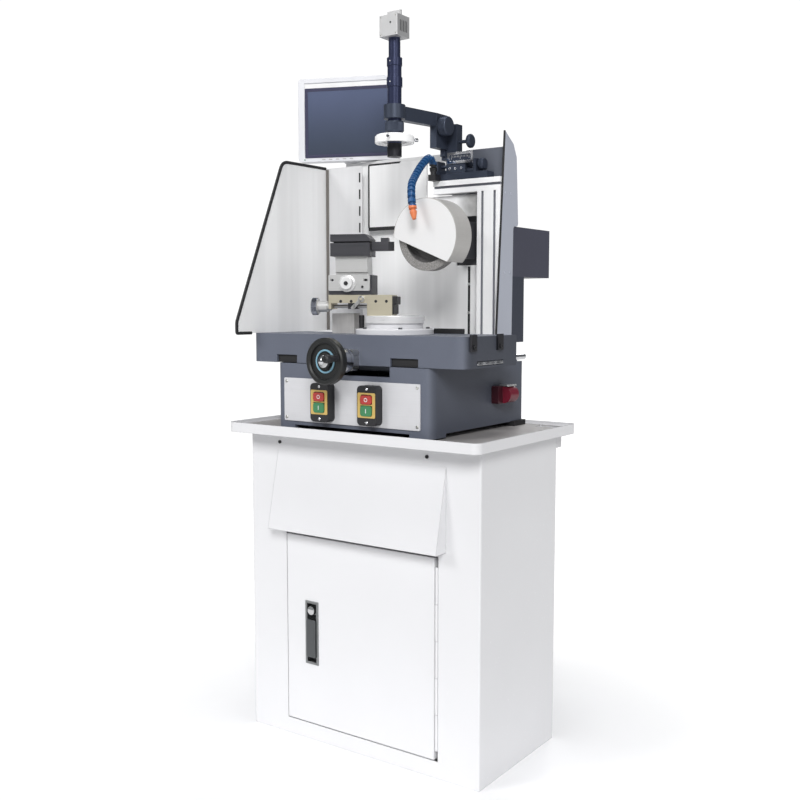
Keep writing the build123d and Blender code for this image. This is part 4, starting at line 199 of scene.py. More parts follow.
# %% Build the studio
FLOOR_RADIUS = 14.0
FLOOR_RINGS = 24
FLOOR_STEPS = 64
WHITE = (1.0, 1.0, 1.0, 1.0)
SKY_TOP = (0.80, 0.82, 0.86, 1.0)
SKY_LOW = (0.42, 0.43, 0.46, 1.0)
SKY_STRENGTH = 0.24
BACKDROP_STRENGTH = 1.05
SOFTNESS = np.radians(22.0)
LAMPS = {
    "right_lamp": ((1.6, -2.2, 1.6), 2.1),
    "left_lamp": ((-1.6, -2.4, 1.8), 1.0),
    "top_lamp": ((0.2, -0.2, 3.0), 0.85),
    "side_lamp": ((3.0, -0.5, 0.9), 0.24),
    "back_lamp": ((-0.8, 2.4, 1.2), 0.5),
}

world = bpy.data.worlds.new("studio")
bpy.context.scene.world = world
world.use_nodes = True
bpy.context.scene.view_settings.view_transform = "Standard"
sky = Tree(world.node_tree)
direction = sky.node("TexCoord", output="Generated")
height = sky.node("SeparateXYZ", inputs={0: direction}, output="Z")
dome = sky.mix(sky.ramp(height, -0.15, 0.8), SKY_LOW, SKY_TOP)
seen = sky.node("LightPath", output="Is Camera Ray")
background = world.node_tree.nodes["Background"]
sky.feed(background.inputs["Color"], sky.mix(seen, dome, WHITE))
sky.feed(background.inputs["Strength"], seen * (BACKDROP_STRENGTH - SKY_STRENGTH) + SKY_STRENGTH)

for name, (place, strength) in LAMPS.items():
    lamp = bpy.data.objects.new(name, bpy.data.lights.new(name, "SUN"))
    lamp.data.angle = SOFTNESS
    lamp.data.energy = strength
    lamp.location = place
    lamp.rotation_euler = (-Vector(place)).to_track_quat("-Z", "Y").to_euler()
    bpy.context.scene.collection.objects.link(lamp)
print("studio with", len(LAMPS), "soft lamps")

# %% [markdown]
# ## From a grid of points to a piece
# Every new piece is a grid of points worked out in one go as an array: rows along a profile, columns round
# or along it. Neighbouring points become four-sided faces. Where a grid closes on itself, points meet, so
# they are welded, and then all faces are turned outwards. A stack of copies of one grid, such as a set of
# screws, is one piece.

# %% Turn grids into meshes
WELD = 2e-6
CREASE = np.radians(32.0)


def mesh_of(name, grids):
    """A mesh from grids shaped (copies, rows, columns, 3), in millimetres. A cell of a grid is one quad."""
    points = []
    quads = []
    start = 0
    for grid in grids:
        index = start + np.arange(grid[..., 0].size).reshape(grid.shape[:-1])
        cell = [index[:, :-1, :-1], index[:, 1:, :-1], index[:, 1:, 1:], index[:, :-1, 1:]]
        quads.append(np.stack(cell, axis=-1).reshape(-1, 4))
        points.append(grid.reshape(-1, 3) * MM)
        start += index.size
    mesh = bpy.data.meshes.new(name)
    mesh.from_pydata(np.concatenate(points).tolist(), [], np.concatenate(quads).tolist())
    closed = bmesh.new()
    closed.from_mesh(mesh)
    bmesh.ops.remove_doubles(closed, verts=closed.verts, dist=WELD)
    bmesh.ops.recalc_face_normals(closed, faces=closed.faces)
    closed.to_mesh(mesh)
    closed.free()
    mesh.shade_smooth()
    mesh.set_sharp_from_angle(angle=CREASE)
    return mesh


def piece(name, grids, look, body):
    """Puts a mesh with a finish into the scene, riding on a CAD body."""
    mesh = mesh_of(name, grids)
    mesh.materials.append(FINISH[look])
    made = bpy.data.objects.new(name, mesh)
    bpy.context.scene.collection.objects.link(made)
    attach(made, body)
    print(name, "has", len(mesh.polygons), "faces and rides on", body)


radius = np.linspace(0.0, FLOOR_RADIUS / MM, FLOOR_RINGS)[:, None]
angle = np.linspace(0.0, 2 * np.pi, FLOOR_STEPS + 1)[None, :]
disc = np.stack([radius * np.cos(angle), radius * np.sin(angle), 0 * radius * angle], axis=-1)
floor = bpy.data.objects.new("floor", mesh_of("floor", [disc[None]]))
bpy.context.scene.collection.objects.link(floor)
print("floor", FLOOR_RADIUS * 2, "m across")

# %% [markdown]
# ## Finishes
# A finish is told as a recipe: what colour it is and how that drifts, how rough, how metallic, and how deep
# its texture lies. Painted castings have a leathery skin, powder coat has orange peel, ground steel has
# long scratches. The same recipe with another colour gives another paint, and one recipe can be laid over
# another through a mask, which is how a casting gets a bare steel block without a second object. Real edges
# are never knife sharp, so the Bevel node rounds them for the light. There the colour is paler, where hands
# and tools rub it, or darker on white sheet and plastic, which is painted shade along the rounded edges.

# %% Write the recipes
Look = namedtuple("Look", "colour roughness metallic height")


def paint(red, green, blue):
    """A colour as read off a screen, 0 to 255, made linear for the shader."""
    share = np.array([red, green, blue]) / 255.0
    linear = np.where(share <= 0.04045, share / 12.92, ((share + 0.055) / 1.055) ** 2.4)
    return (*linear.tolist(), 1.0)


def tint(colour, factor):
    """A paler or darker colour."""
    return (*[min(1.0, part * factor) for part in colour[:3]], 1.0)


def powder_coat(tree, colour, roughness):
    """Baked powder: orange peel three to four millimetres wide and a slow drift in tone."""
    drift = tree.noise(5.0, 3.0)
    peel = tree.noise(280.0, 2.0)
    shade = tree.mix(drift, tint(colour, 0.965), tint(colour, 1.02))
    return Look(shade, (peel - 0.5) * 0.06 + roughness, 0.0, peel * 0.00001)


def cast_enamel(tree, colour, roughness):
    """Sprayed casting: soft waves of the filler under a leathery skin, with dust in the hollows."""
    waves = tree.noise(16.0, 2.0)
    leather = tree.noise(520.0, 3.0)
    dust = tree.ramp(leather, 0.35, 0.7)
    shade = tree.mix(waves, tint(colour, 0.93), tint(colour, 1.07))
    shade = tree.mix(dust * 0.12, shade, tint(colour, 1.5))
    return Look(shade, (leather - 0.5) * 0.3 + roughness, 0.0, waves * 0.0003 + leather * 0.00009)


def ground_metal(tree, colour, roughness, scratches, metallic=1.0, marked=1.0):
    """Ground steel: fine scratches, so many in a metre across each axis, and a few dull stains of coolant.

    The last number says how marked they are: 1 for steel in hard use, less for a part that is wiped or
    lacquered.
    """
    scratch = tree.noise(1.0, 5.0, scratches)
    stain = tree.ramp(tree.noise(34.0, 4.0), 0.5, 0.8)
    shade = tree.mix(scratch, tint(colour, 1 - 0.16 * marked), tint(colour, 1 + 0.1 * marked))
    shade = tree.mix(stain * (0.3 * marked), shade, tint(colour, 0.72))
    rough = (scratch - 0.5) * (0.3 * marked) + stain * (0.08 * marked) + roughness
    return Look(shade, rough, metallic, scratch * (0.000012 * marked))


def satin_sheet(tree, colour, roughness):
    """Brushed and lacquered sheet: soft upright streaks, centimetres wide, partly brushing and partly
    painted reflection, and a fine grain along them.
    """
    streak_and_reflection = tree.ramp(tree.noise(1.0, 3.0, (26.0, 26.0, 0.9)), 0.38, 0.68)
    grain = tree.noise(1.0, 3.0, (900.0, 900.0, 14.0))
    shade = tree.mix(streak_and_reflection, tint(colour, 0.91), colour)
    shade = tree.mix(grain * 0.08, shade, tint(colour, 0.8))
    return Look(shade, (grain - 0.5) * 0.1 + roughness, 0.0, grain * 0.00001)


def anodised(tree, colour, roughness):
    """Anodised aluminium: a bead-blasted grain finer than a millimetre and a faint cloud in the dye."""
    grain = tree.noise(2400.0, 2.0)
    cloud = tree.noise(12.0, 3.0)
    shade = tree.mix(cloud, tint(colour, 0.86), tint(colour, 1.16))
    return Look(shade, (grain - 0.5) * 0.18 + cloud * 0.06 + roughness, 0.55, grain * 0.000012)


def moulded(tree, colour, roughness):
    """Moulded plastic: the spark-eroded grain of its tool and slow marks where the melt flowed."""
    grain = tree.noise(1300.0, 2.0)
    flow = tree.noise(24.0, 2.0, (1.0, 1.0, 0.3))
    shade = tree.mix(flow, tint(colour, 0.9), tint(colour, 1.1))
    return Look(shade, (grain - 0.5) * 0.2 + roughness, 0.0, grain * 0.00002)


def abrasive(tree, colour, roughness):
    """Bonded grit: pale and dark grains about half a millimetre across, standing proud of the bond."""
    cell = {"Vector": tree.spot(), "Scale": 1500.0}
    grit = tree.node("TexVoronoi", {"feature": "F1"}, cell, output="Distance")
    tone = tree.noise(1100.0, 3.0)
    shade = tree.mix(tree.ramp(tone, 0.35, 0.7), tint(colour, 0.55), tint(colour, 1.5))
    return Look(shade, tone * 0.1 + roughness, 0.0, (1 - grit) * 0.0002)


def galvanised(tree, colour, roughness):
    """Zinc bath: flat crystals of slightly different grey, a few millimetres across."""
    cell = {"Vector": tree.spot(), "Scale": 110.0}
    crystal = tree.node("TexVoronoi", {"feature": "F1"}, cell, output="Color")
    tone = tree.node("SeparateXYZ", inputs={0: crystal}, output="X")
    shade = tree.mix(tone, tint(colour, 0.78), tint(colour, 1.15))
    return Look(shade, tone * 0.2 + roughness, 0.9, tone * 0.00001)


def laid_over(tree, mask, below, above):
    """One recipe over another where the mask is 1: colours are mixed, numbers go from one to the other."""
    share = [mask * (high - low) + low for low, high in zip(below[1:], above[1:])]
    return Look(tree.mix(mask, below.colour, above.colour), *share)


def finish(name, look, wear=0.25, rubbed=1.6, edge=0.8, **constants):
    """A material from a look. Edges are rounded by so many millimetres. There, wear says how much of the
    edge colour shows, which is the look's own times rubbed: above 1 paler wear, below 1 painted shade.
    Constants go to the shader's sockets.
    """
    material = bpy.data.materials.new(name)
    material.use_nodes = True
    tree = Tree(material.node_tree)
    shader = material.node_tree.nodes["Principled BSDF"]
    made = look(tree)
    soft = tree.node("Bevel", {"samples": 6}, {"Radius": edge * MM})
    flat = tree.node("NewGeometry", output="Normal")
    turn = tree.node("VectorMath", {"operation": "DOT_PRODUCT"}, {0: soft, 1: flat}, output="Value")
    edge_colour = tree.node("VectorMath", {"operation": "SCALE"}, {0: made.colour, "Scale": rubbed})
    edge_share = tree.ramp(1 - turn, 0.04, 0.3) * wear
    tree.feed(shader.inputs["Base Color"], tree.mix(edge_share, made.colour, edge_colour))
    tree.feed(shader.inputs["Roughness"], made.roughness)
    tree.feed(shader.inputs["Metallic"], made.metallic)
    bump = tree.node("Bump", inputs={"Height": made.height, "Distance": 1.0, "Normal": soft})
    tree.feed(shader.inputs["Normal"], bump)
    for socket, value in constants.items():
        shader.inputs[socket.replace("_", " ")].default_value = value
    return material


print("recipes ready")

# %% [markdown]
# ## Paints, steels and plastics of this machine
# The cabinet is glossy white powder coat, the castings are blue-grey enamel, and the slides are ground
# steel, one of them with a warm cream tone. Scratches run along the way each part was ground, so the number
# of scratches is given for each axis: few along the stroke, many across it.

# %% Mix the plain finishes
CABINET_WHITE = paint(222, 222, 224)
ENAMEL_GREY = paint(92, 97, 110)
SATIN_WHITE = paint(236, 236, 236)
STEEL = paint(205, 205, 204)
PALE_STEEL = paint(208, 208, 207)
CHROME = paint(226, 227, 230)
DIAL_STEEL = paint(230, 230, 230)
TURNED_STEEL = paint(234, 234, 235)
BLACK_DYE = paint(68, 75, 90)
SHEET_WHITE = paint(251, 251, 251)
COVER_GREY = paint(68, 69, 82)
PLATE_GREY = paint(178, 182, 193)
JET_BLACK = paint(34, 34, 37)
ALONG_X = (9.0, 700.0, 700.0)
ALONG_Y = (700.0, 9.0, 700.0)
ALONG_Z = (700.0, 700.0, 9.0)
ROUND_Z = (14.0, 14.0, 520.0)
EVEN = (70.0, 70.0, 70.0)
WORK_TURN = np.radians(25.0)


def work_metal(tree, *values):
    """Ground metal of the work holder, which stands turned on its rotary table."""
    return ground_metal(tree.turned(WORK_TURN), *values)


def plain(name, recipe, *values, **settings):
    """A finish with one recipe all over, from its colour, its roughness and the recipe's other values."""
    return finish(name, lambda tree: recipe(tree, *values), **settings)


FINISH = {
    # Darker rounded edges on the cabinet: painted shade.
    "cabinet": plain("cabinet_powder_coat", powder_coat, CABINET_WHITE, 0.26, wear=0.95, rubbed=0.62,
                     edge=3.0, Coat_Weight=0.25),
    "casting": plain("casting_enamel", cast_enamel, ENAMEL_GREY, 0.46),
    "dark_casting": plain("dark_casting_enamel", cast_enamel, paint(70, 70, 74), 0.5),
    "arm": plain("arm_satin_white", powder_coat, SATIN_WHITE, 0.38, wear=0.06),
    "plate": plain("side_plate_enamel", powder_coat, PLATE_GREY, 0.4, wear=0.2),
    "silver": plain("brushed_panel", ground_metal, paint(206, 206, 209), 0.5, ALONG_X, 0.04, 0.35, wear=0.1),
    "steel_y": plain("ground_steel_y", ground_metal, STEEL, 0.3, ALONG_Y, wear=0.3),
    "steel_z": plain("ground_steel_z", ground_metal, STEEL, 0.3, ALONG_Z, wear=0.3),
    "work_steel": plain("work_steel", work_metal, PALE_STEEL, 0.38, ALONG_X, 0.65, 0.4, wear=0.3),
    "work_dial": plain("work_dial_steel", work_metal, DIAL_STEEL, 0.4, ALONG_Y, 0.35, 0.4, wear=0.3),
    "cream": plain("cream_steel", work_metal, paint(206, 199, 178), 0.42, ALONG_X, 1.0, 0.6, wear=0.3),
    "work_dark": plain("work_blackened_steel", work_metal, paint(86, 86, 90), 0.44, ALONG_X, wear=0.4),
    "dark_steel": plain("blackened_steel", ground_metal, paint(104, 106, 108), 0.44, ALONG_Z, wear=0.4),
    "chrome": plain("polished_chrome", ground_metal, CHROME, 0.1, EVEN, wear=0.1),
    "dark_chrome": plain("dark_chrome", ground_metal, paint(150, 154, 164), 0.14, EVEN, wear=0.2),
    "turned_steel": plain("turned_steel", ground_metal, TURNED_STEEL, 0.3, ROUND_Z, 0.4, 0.6, wear=0.1),
    "zinc": plain("zinc_plate", ground_metal, paint(190, 190, 186), 0.36, EVEN, wear=0.2),
    "tank": plain("galvanised_sheet", galvanised, paint(188, 192, 196), 0.34, wear=0.1),
    "black": plain("black_plastic", moulded, JET_BLACK, 0.46, wear=0.3),
    "rubber": plain("black_rubber", moulded, paint(28, 28, 30), 0.66, wear=0.2),
    "dye": plain("black_anodised", anodised, BLACK_DYE, 0.36, wear=0.35),
    # Darker rounded edges on the monitor case: painted shade.
    "case": plain("monitor_case", moulded, paint(226, 227, 231), 0.34, wear=0.6, rubbed=0.7, edge=2.4),
    "white": plain("white_plastic", moulded, SATIN_WHITE, 0.34, wear=0.05),
    # The ring light's white shell glows faintly: painted light that lifts its shade.
    "glowing_white": plain("painted_glow_plastic", moulded, paint(246, 246, 246), 0.34, wear=0.05, Emission_Color=WHITE,
                       Emission_Strength=0.1),
    "camera": plain("camera_shell", anodised, paint(198, 198, 198), 0.42, wear=0.1),
    "red": plain("red_button", moulded, paint(178, 52, 46), 0.3, wear=0.15, Coat_Weight=0.3),
    "green": plain("green_button", moulded, paint(54, 124, 80), 0.3, wear=0.15, Coat_Weight=0.3),
    "yellow": plain("yellow_plate", moulded, paint(200, 170, 98), 0.4, wear=0.1),
    "frame": plain("display_frame", moulded, paint(66, 66, 88), 0.3, wear=0.1),
    "fold_shade": plain("fold_shade_grey", moulded, paint(112, 108, 104), 0.6, wear=0.2),
    "sky_blue": plain("blue_ring", moulded, paint(128, 172, 192), 0.36, wear=0.1),
}
print(len(FINISH), "plain finishes")

# %% [markdown]
# ## The floor's finish
# Near the machine the floor is matt paint, so that it takes a soft shadow. Further out it fades into a glow
# as white as the backdrop, and no edge shows where the disc ends. Other surfaces see a weaker glow than the
# camera does.

# %% Paint the floor
FLOOR_WHITE = paint(250, 250, 251)
FLOOR_FADE = (0.38, 1.1)
FAR_GLOW = (0.7, 0.7, 0.7, 1.0)
NO_LIGHT = (0.0, 0.0, 0.0, 1.0)

pale = plain("pale_floor", powder_coat, FLOOR_WHITE, 0.6, wear=0.0, Emission_Strength=BACKDROP_STRENGTH)
tree = Tree(pale.node_tree)
shader = pale.node_tree.nodes["Principled BSDF"]
reach = tree.node("VectorMath", {"operation": "LENGTH"}, {0: tree.spot()}, output="Value")
far = tree.ramp(reach, *FLOOR_FADE)
near = Value(tree, shader.inputs["Base Color"].links[0].from_socket)
tree.feed(shader.inputs["Base Color"], tree.mix(far, near, NO_LIGHT))
shown = tree.mix(tree.node("LightPath", output="Is Camera Ray"), FAR_GLOW, WHITE)
tree.feed(shader.inputs["Emission Color"], tree.mix(far, NO_LIGHT, shown))
floor.data.materials.append(pale)
print("floor paint fades from", *FLOOR_FADE, "m")

# %% [markdown]
# ## Finishes that change over one part
# Some CAD parts join several real materials in one solid: the table casting carries a bare steel stop, the
# hose ends in an orange nozzle, the handwheel has a polished dial behind its black rim. A mask on the
# part's own coordinates tells them apart, so each solid keeps one material and nothing has to be cut up.

# %% Find the places
saddle_low, saddle_high = corners("saddle")
saddle_top = corners("saddle_fittings")[1][2] - 4.0
base_high = corners("machine_base")[1]
bar_low, bar_high = corners("camera_frame")
tray_low, tray_high = corners("chip_tray")
wheel_low, wheel_high = corners("handwheel")
nozzle_low = corners("hose_tip")[0]
lever_low, lever_high = corners("latch_handle")
inlet_low, inlet_high = corners("power_inlet")
guard_low, guard_high = corners("splash_guard")
plate_high = corners("side_panel")[1]
light_low = corners("ring_light")[0]
SKIN = 0.5
END_SHADE_REACH = 12.0
WHEEL_CENTRE = (128.0, 1170.0)
WHEEL_CUP = 57.3
COVER_RIM = 80.5
COVER_STEP = 1087.0
PLATE_SHEET = 3.4
GUARD_FOLD = 3.0
BEAM_SHADE_X = (84.0, 124.0)
BEAM_SHADE_LOW = 1222.0
HANDWHEEL_DIAL = 43.7
NOZZLE_HEIGHT = 31.0
TRAY_RIM = 9.0
ROTARY_AXIS = (38.0, -80.0)
POST_REACH = 66.0
FLANGE_TOP = 968.5
HOSE_LEG = (52.0, 1346.0)
POST_MIDDLE = 182.0
GROOVE_ASIDE = 16.0
GROOVE_HALF = 3.2
GROOVE_WALL = 0.4
GROOVE_DEPTH = 6.4
BEAM_HALF = 15.0
INLET_SHROUD = 38.5
LATCH_BUTTON = 24.0
LATCH_EDGE = 4.0
END_SHADE_GREY = tint(ENAMEL_GREY, 0.48)
LINK_BLUE = paint(31, 80, 130)
BLOCK_GRAIN = (300.0, 300.0, 20.0)
UNSHADED_SHEET = (satin_sheet, SHEET_WHITE, 0.36)


def end_shaded_casting(tree, end, share):
    """Enamel that darkens softly towards its right end: painted shade of the right-hand side."""
    painted_shade = tree.ramp(tree.axis("X"), (end - END_SHADE_REACH) * MM, end * MM) * share
    return laid_over(tree, painted_shade, cast_enamel(tree, ENAMEL_GREY, 0.46), cast_enamel(tree, END_SHADE_GREY, 0.5))


def off(tree, value, middle):
    """How far a value lies from a middle in millimetres, to either side."""
    return tree.node("Math", {"operation": "ABSOLUTE"}, {0: value - middle * MM})


def outside(tree, first, second, centre, radius):
    """A mask: 1 further than a radius from an axis that runs through a centre in two coordinates."""
    x = tree.axis(first) - centre[0] * MM
    y = tree.axis(second) - centre[1] * MM
    return x * x + y * y > (radius * MM) ** 2


def in_grooves(tree):
    """The walls and the floor of the grooves in the post and the beam of the camera's frame, where shade is
    painted.
    """
    deep = tree.between("Y", bar_low[1] + GROOVE_WALL, bar_low[1] + GROOVE_DEPTH)
    aside = off(tree, off(tree, tree.axis("X"), POST_MIDDLE), GROOVE_ASIDE)
    lift = off(tree, tree.axis("Z"), bar_high[2] - BEAM_HALF)
    beam = tree.past("Z", bar_high[2] - 2 * BEAM_HALF)
    return deep * (beam * (lift < GROOVE_HALF * MM) + (1 - beam) * (aside < GROOVE_HALF * MM))


def in_tray(tree):
    """The floor of the tray inside its rim."""
    level = tree.between("X", tray_low[0] + TRAY_RIM, tray_high[0] - TRAY_RIM)
    level = level * tree.between("Y", tray_low[1] + TRAY_RIM, tray_high[1] - TRAY_RIM)
    return level * tree.past("Z", tray_high[2] - TRAY_RIM)


def under_beam_shade(tree):
    """The upper right of the back panel beside the wheel, under the beam, in drifting patches: painted
    shade.
    """
    painted_shade = tree.ramp(tree.axis("X"), BEAM_SHADE_X[0] * MM, BEAM_SHADE_X[1] * MM) * tree.past("Z", BEAM_SHADE_LOW)
    return painted_shade * (tree.noise(40.0, 4.0) * 0.8 + 0.3)


def on_post(tree):
    """The clamp post on the flange of the rotary base, outside its neck."""
    return outside(tree, "X", "Y", ROTARY_AXIS, POST_REACH) * tree.past("Z", FLANGE_TOP)


def on_button(tree):
    """The key button above the lever of the latch."""
    button = tree.between("Z", lever_high[2] + SKIN, lever_high[2] + LATCH_BUTTON)
    return button * tree.between("X", lever_low[0] + LATCH_EDGE, lever_high[0] - LATCH_EDGE)


def masked(name, mask, below, above, **settings):
    """A finish of two recipes, each with its values. The second lies over the first where the mask is 1."""
    def look(tree):
        lower, upper = [recipe(tree, *values) for recipe, *values in (below, above)]
        return laid_over(tree, mask(tree), lower, upper)
    return finish(name, look, **settings)


print("masks ready")

# %% [markdown]
# ## The masked finishes
# Each row says where the second recipe lies, and then gives the two recipes with their colours and
# roughness. Painted shade and plain darker areas are recipes too: the same paint in a darker or greyer tone.

# %% Mix the masked finishes
MIXED = {
    # Enamel with painted shade towards its right end, and the bare steel of the stop block above the table's
    # top.
    "saddle": masked("table_casting", lambda t: t.past("Z", saddle_top + SKIN),
                     (end_shaded_casting, saddle_high[0], 1.0),
                     (ground_metal, paint(206, 204, 202), 0.5, BLOCK_GRAIN, 0.6)),
    # The painted shade is weaker on the base than on the table above it.
    "machine_base": plain("base_casting", end_shaded_casting, base_high[0], 0.55),
    # Lacquered aluminium, and painted shade in its grooves.
    "camera_frame": masked("grooved_bar", in_grooves,
                           (ground_metal, paint(254, 254, 255), 0.4, ALONG_Z, 0.0, 0.25),
                           (cast_enamel, paint(142, 144, 152), 0.6), wear=0.1),
    # Polished spout, and blackened clips on the table's end.
    "saddle_fittings": masked("end_fittings", lambda t: t.past("X", saddle_high[0] - SKIN),
                              (ground_metal, CHROME, 0.1, EVEN),
                              (ground_metal, paint(74, 74, 78), 0.4, ALONG_Z), wear=0.2),
    # White sheet with painted shade on its rounded edges, and a grey floor inside its rim.
    "chip_tray": masked("tray_sheet", in_tray, (powder_coat, paint(220, 220, 222), 0.26),
                        (cast_enamel, paint(152, 149, 148), 0.5), wear=0.6, rubbed=0.75, edge=2.0),
    # Black rim, and the polished dial behind it.
    "handwheel": masked("handwheel_rim", lambda t: t.past("Y", wheel_high[1] - HANDWHEEL_DIAL),
                        (moulded, paint(24, 25, 25), 0.46),
                        (ground_metal, paint(214, 215, 218), 0.2, ALONG_Y)),
    # Blue links, and an orange nozzle at the lower end.
    "hose_tip": masked("hose_end", lambda t: t.short_of("Z", nozzle_low[2] + NOZZLE_HEIGHT),
                       (moulded, LINK_BLUE, 0.34), (moulded, paint(214, 120, 74), 0.4), wear=0.2),
    # Blue links, and the black block and leg that hold them to the camera stage.
    "hose_base": masked("hose_root", lambda t: t.past("Y", HOSE_LEG[0]) * t.short_of("Z", HOSE_LEG[1]),
                        (moulded, LINK_BLUE, 0.34), (moulded, JET_BLACK, 0.4), wear=0.2),
    # White satin, and the black clamp post.
    "rotary_base": masked("rotary_foot", on_post, (powder_coat, paint(214, 214, 217), 0.34),
                          (moulded, JET_BLACK, 0.4), wear=0.1),
    # White satin faces, and a brushed band round the rim, its grey painted shade on the cover's side.
    "wheel_guard": masked("wheel_cover", lambda t: outside(t, "X", "Z", WHEEL_CENTRE, COVER_RIM),
                          (powder_coat, paint(226, 226, 226), 0.38),
                          (ground_metal, paint(190, 188, 185), 0.42, ALONG_Y, 0.15, 0.7), wear=0.06),
    # Dark grit in the cup, and pale grit on the rim, which a diamond has dressed.
    "grinding_wheel": masked("cup_wheel", lambda t: outside(t, "X", "Z", WHEEL_CENTRE, WHEEL_CUP),
                             (abrasive, paint(112, 111, 111), 0.8), (abrasive, paint(140, 138, 136), 0.8),
                             wear=0.1),
    # The return at the guard's back is a greyer copy of the sheet: painted shade.
    "splash_guard": masked("guard_sheet", lambda t: t.past("Y", guard_high[1] - GUARD_FOLD), UNSHADED_SHEET,
                           (satin_sheet, paint(222, 222, 223), 0.36), wear=0.06),
    # Painted shade under the beam, in patches, beside the wheel.
    "back_panel": masked("beam_shaded_sheet", under_beam_shade, UNSHADED_SHEET, (satin_sheet, paint(150, 149, 147), 0.4),
                         wear=0.06),
    # The shallow lower half is a darker grey.
    "rear_cover": masked("motor_cover", lambda t: t.short_of("Z", COVER_STEP),
                         (cast_enamel, COVER_GREY, 0.5), (cast_enamel, paint(52, 56, 68), 0.56)),
    # Pale outside, and a darker return behind the camera stage: painted shade on the same sheet.
    "side_panel": masked("side_plate", lambda t: t.short_of("X", plate_high[0] - PLATE_SHEET),
                         (powder_coat, PLATE_GREY, 0.4), (powder_coat, paint(104, 108, 118), 0.3), wear=0.2),
    # Blue-black tube, and a plain black tip below the ring light.
    "lens_tube": masked("lens_barrel", lambda t: t.short_of("Z", light_low[2]),
                        (anodised, paint(56, 62, 90), 0.26), (anodised, paint(42, 43, 48), 0.36), wear=0.35),
    # Dark red mounting box, and the brighter shroud behind it.
    "power_inlet": masked("inlet_shell", lambda t: t.past("Y", inlet_high[1] - INLET_SHROUD),
                          (moulded, paint(58, 18, 28), 0.36), (moulded, paint(112, 26, 44), 0.34), wear=0.2),
    # Dark satin pan, and the bright key button.
    "latch_body": masked("latch_plate", on_button, (ground_metal, paint(146, 148, 149), 0.4, ALONG_Z),
                         (ground_metal, paint(222, 222, 224), 0.16, EVEN)),
}
print(len(MIXED), "masked finishes")

# %% [markdown]
# ## Dressing the CAD parts
# The shapes are right already, so each part only gets its finish. A table of part and finish reads like a
# paint schedule, and a missing part stops the script at once instead of staying bare.

# %% Give every CAD part its finish
SCHEDULE = {
    "cabinet": ["cabinet_shell", "cabinet_door", "door_hinge"],
    "casting": ["head_column", "stroke_motor", "coolant_pump"],
    "dark_casting": ["spindle_head"],
    "arm": ["monitor_arm"],
    "silver": ["switch_panel"],
    "work_steel": ["slide_plate", "cross_slide", "slide_knob"],
    "work_dial": ["dial_knob"],
    "work_dark": ["lower_slide", "tool_holder", "tool_bit"],
    "cream": ["slide_bed"],
    "steel_y": ["slideways", "feed_screw", "feed_bracket", "spindle"],
    "steel_z": ["clamp_lever"],
    "dark_steel": ["latch_handle"],
    "turned_steel": ["rotary_table"],
    "tank": ["coolant_tank"],
    "black": ["switch_housings", "crank_handle"],
    "rubber": ["base_feet"],
    "dye": ["stage_base", "stage_slide", "stage_knob", "focus_arm", "focus_knob", "thumb_screw",
            "zoom_ring"],
    "case": ["monitor"],
    "glowing_white": ["ring_light"],
    "camera": ["camera"],
    "red": ["wheel_stop_button", "pump_stop_button"],
    "green": ["wheel_start_button", "pump_start_button"],
}
schedule = {node: FINISH[name] for name, nodes in SCHEDULE.items() for node in nodes} | MIXED
for node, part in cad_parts.items():
    part.data.materials.clear()
    part.data.materials.append(schedule[node])
print("dressed", len(schedule), "CAD parts")

# %% [markdown]
# ## Shapes that many pieces share
# Screws, plates, rings and knurled grips come back all over a machine. Each is written once as a surface in
# its own small frame, with z standing out of the face it sits on, and is then set down on a face of the
# machine. A face is given by the two directions that lie in it, to the right and up, as somebody standing
# before it would say. The work holder stands turned on its table, so it has faces of its own, and its
# places are swung about the table's axis.

# %% Write the shared shapes
FRONT = ((1, 0, 0), (0, 0, 1))
BACK = ((-1, 0, 0), (0, 0, 1))
RIGHT = ((0, 1, 0), (0, 0, 1))
TOP = ((1, 0, 0), (0, 1, 0))
BELOW = ((1, 0, 0), (0, -1, 0))
UP = np.array([0.0, 0.0, 1.0])
WORK_ACROSS = np.array([np.cos(WORK_TURN), np.sin(WORK_TURN), 0.0])
WORK_INTO = np.array([-np.sin(WORK_TURN), np.cos(WORK_TURN), 0.0])
WORK_FRONT = (WORK_ACROSS, UP)
WORK_RIGHT = (WORK_INTO, UP)


def swung(x, y, z):
    """A point of the work holder, given as it is before the holder is swung about the rotary axis."""
    axis_x, axis_y = ROTARY_AXIS
    return np.array([axis_x, axis_y, z]) + (x - axis_x) * WORK_ACROSS + (y - axis_y) * WORK_INTO


def spread(x, y, z):
    """Every point whose three coordinates come from these lists. A number counts as a list of one."""
    return list(product(np.atleast_1d(x), np.atleast_1d(y), np.atleast_1d(z)))


def circle(centre, radius, degrees, z):
    """Points on a level circle, at these angles."""
    return [(centre[0] + radius * np.cos(a), centre[1] + radius * np.sin(a), z) for a in np.radians(degrees)]


def at(local, origins, face):
    """Copies of a local grid, one at each origin: x runs to the face's right, y up and z out of it."""
    right, up = np.array(face, float)
    axes = np.stack([right, up, np.cross(right, up)])
    return np.atleast_2d(np.array(origins, float))[:, None, None, :] + local @ axes


def ring_of(local, centre, face, radius, count, flat):
    """Copies round a circle in a face. Flat ones lie in it with y outwards, others stand on a drum."""
    right, up = np.array(face, float)
    angle = np.arange(count)[:, None] * 2 * np.pi / count
    radial = np.cos(angle) * right + np.sin(angle) * up
    along = np.cos(angle) * up - np.sin(angle) * right
    axis = np.broadcast_to(np.cross(right, up), radial.shape)
    frames = np.stack([along, radial, axis] if flat else [along, axis, radial], axis=1)
    origins = np.array(centre, float) + radius * radial
    return origins[:, None, None, :] + np.einsum("rci,kij->krcj", local, frames)


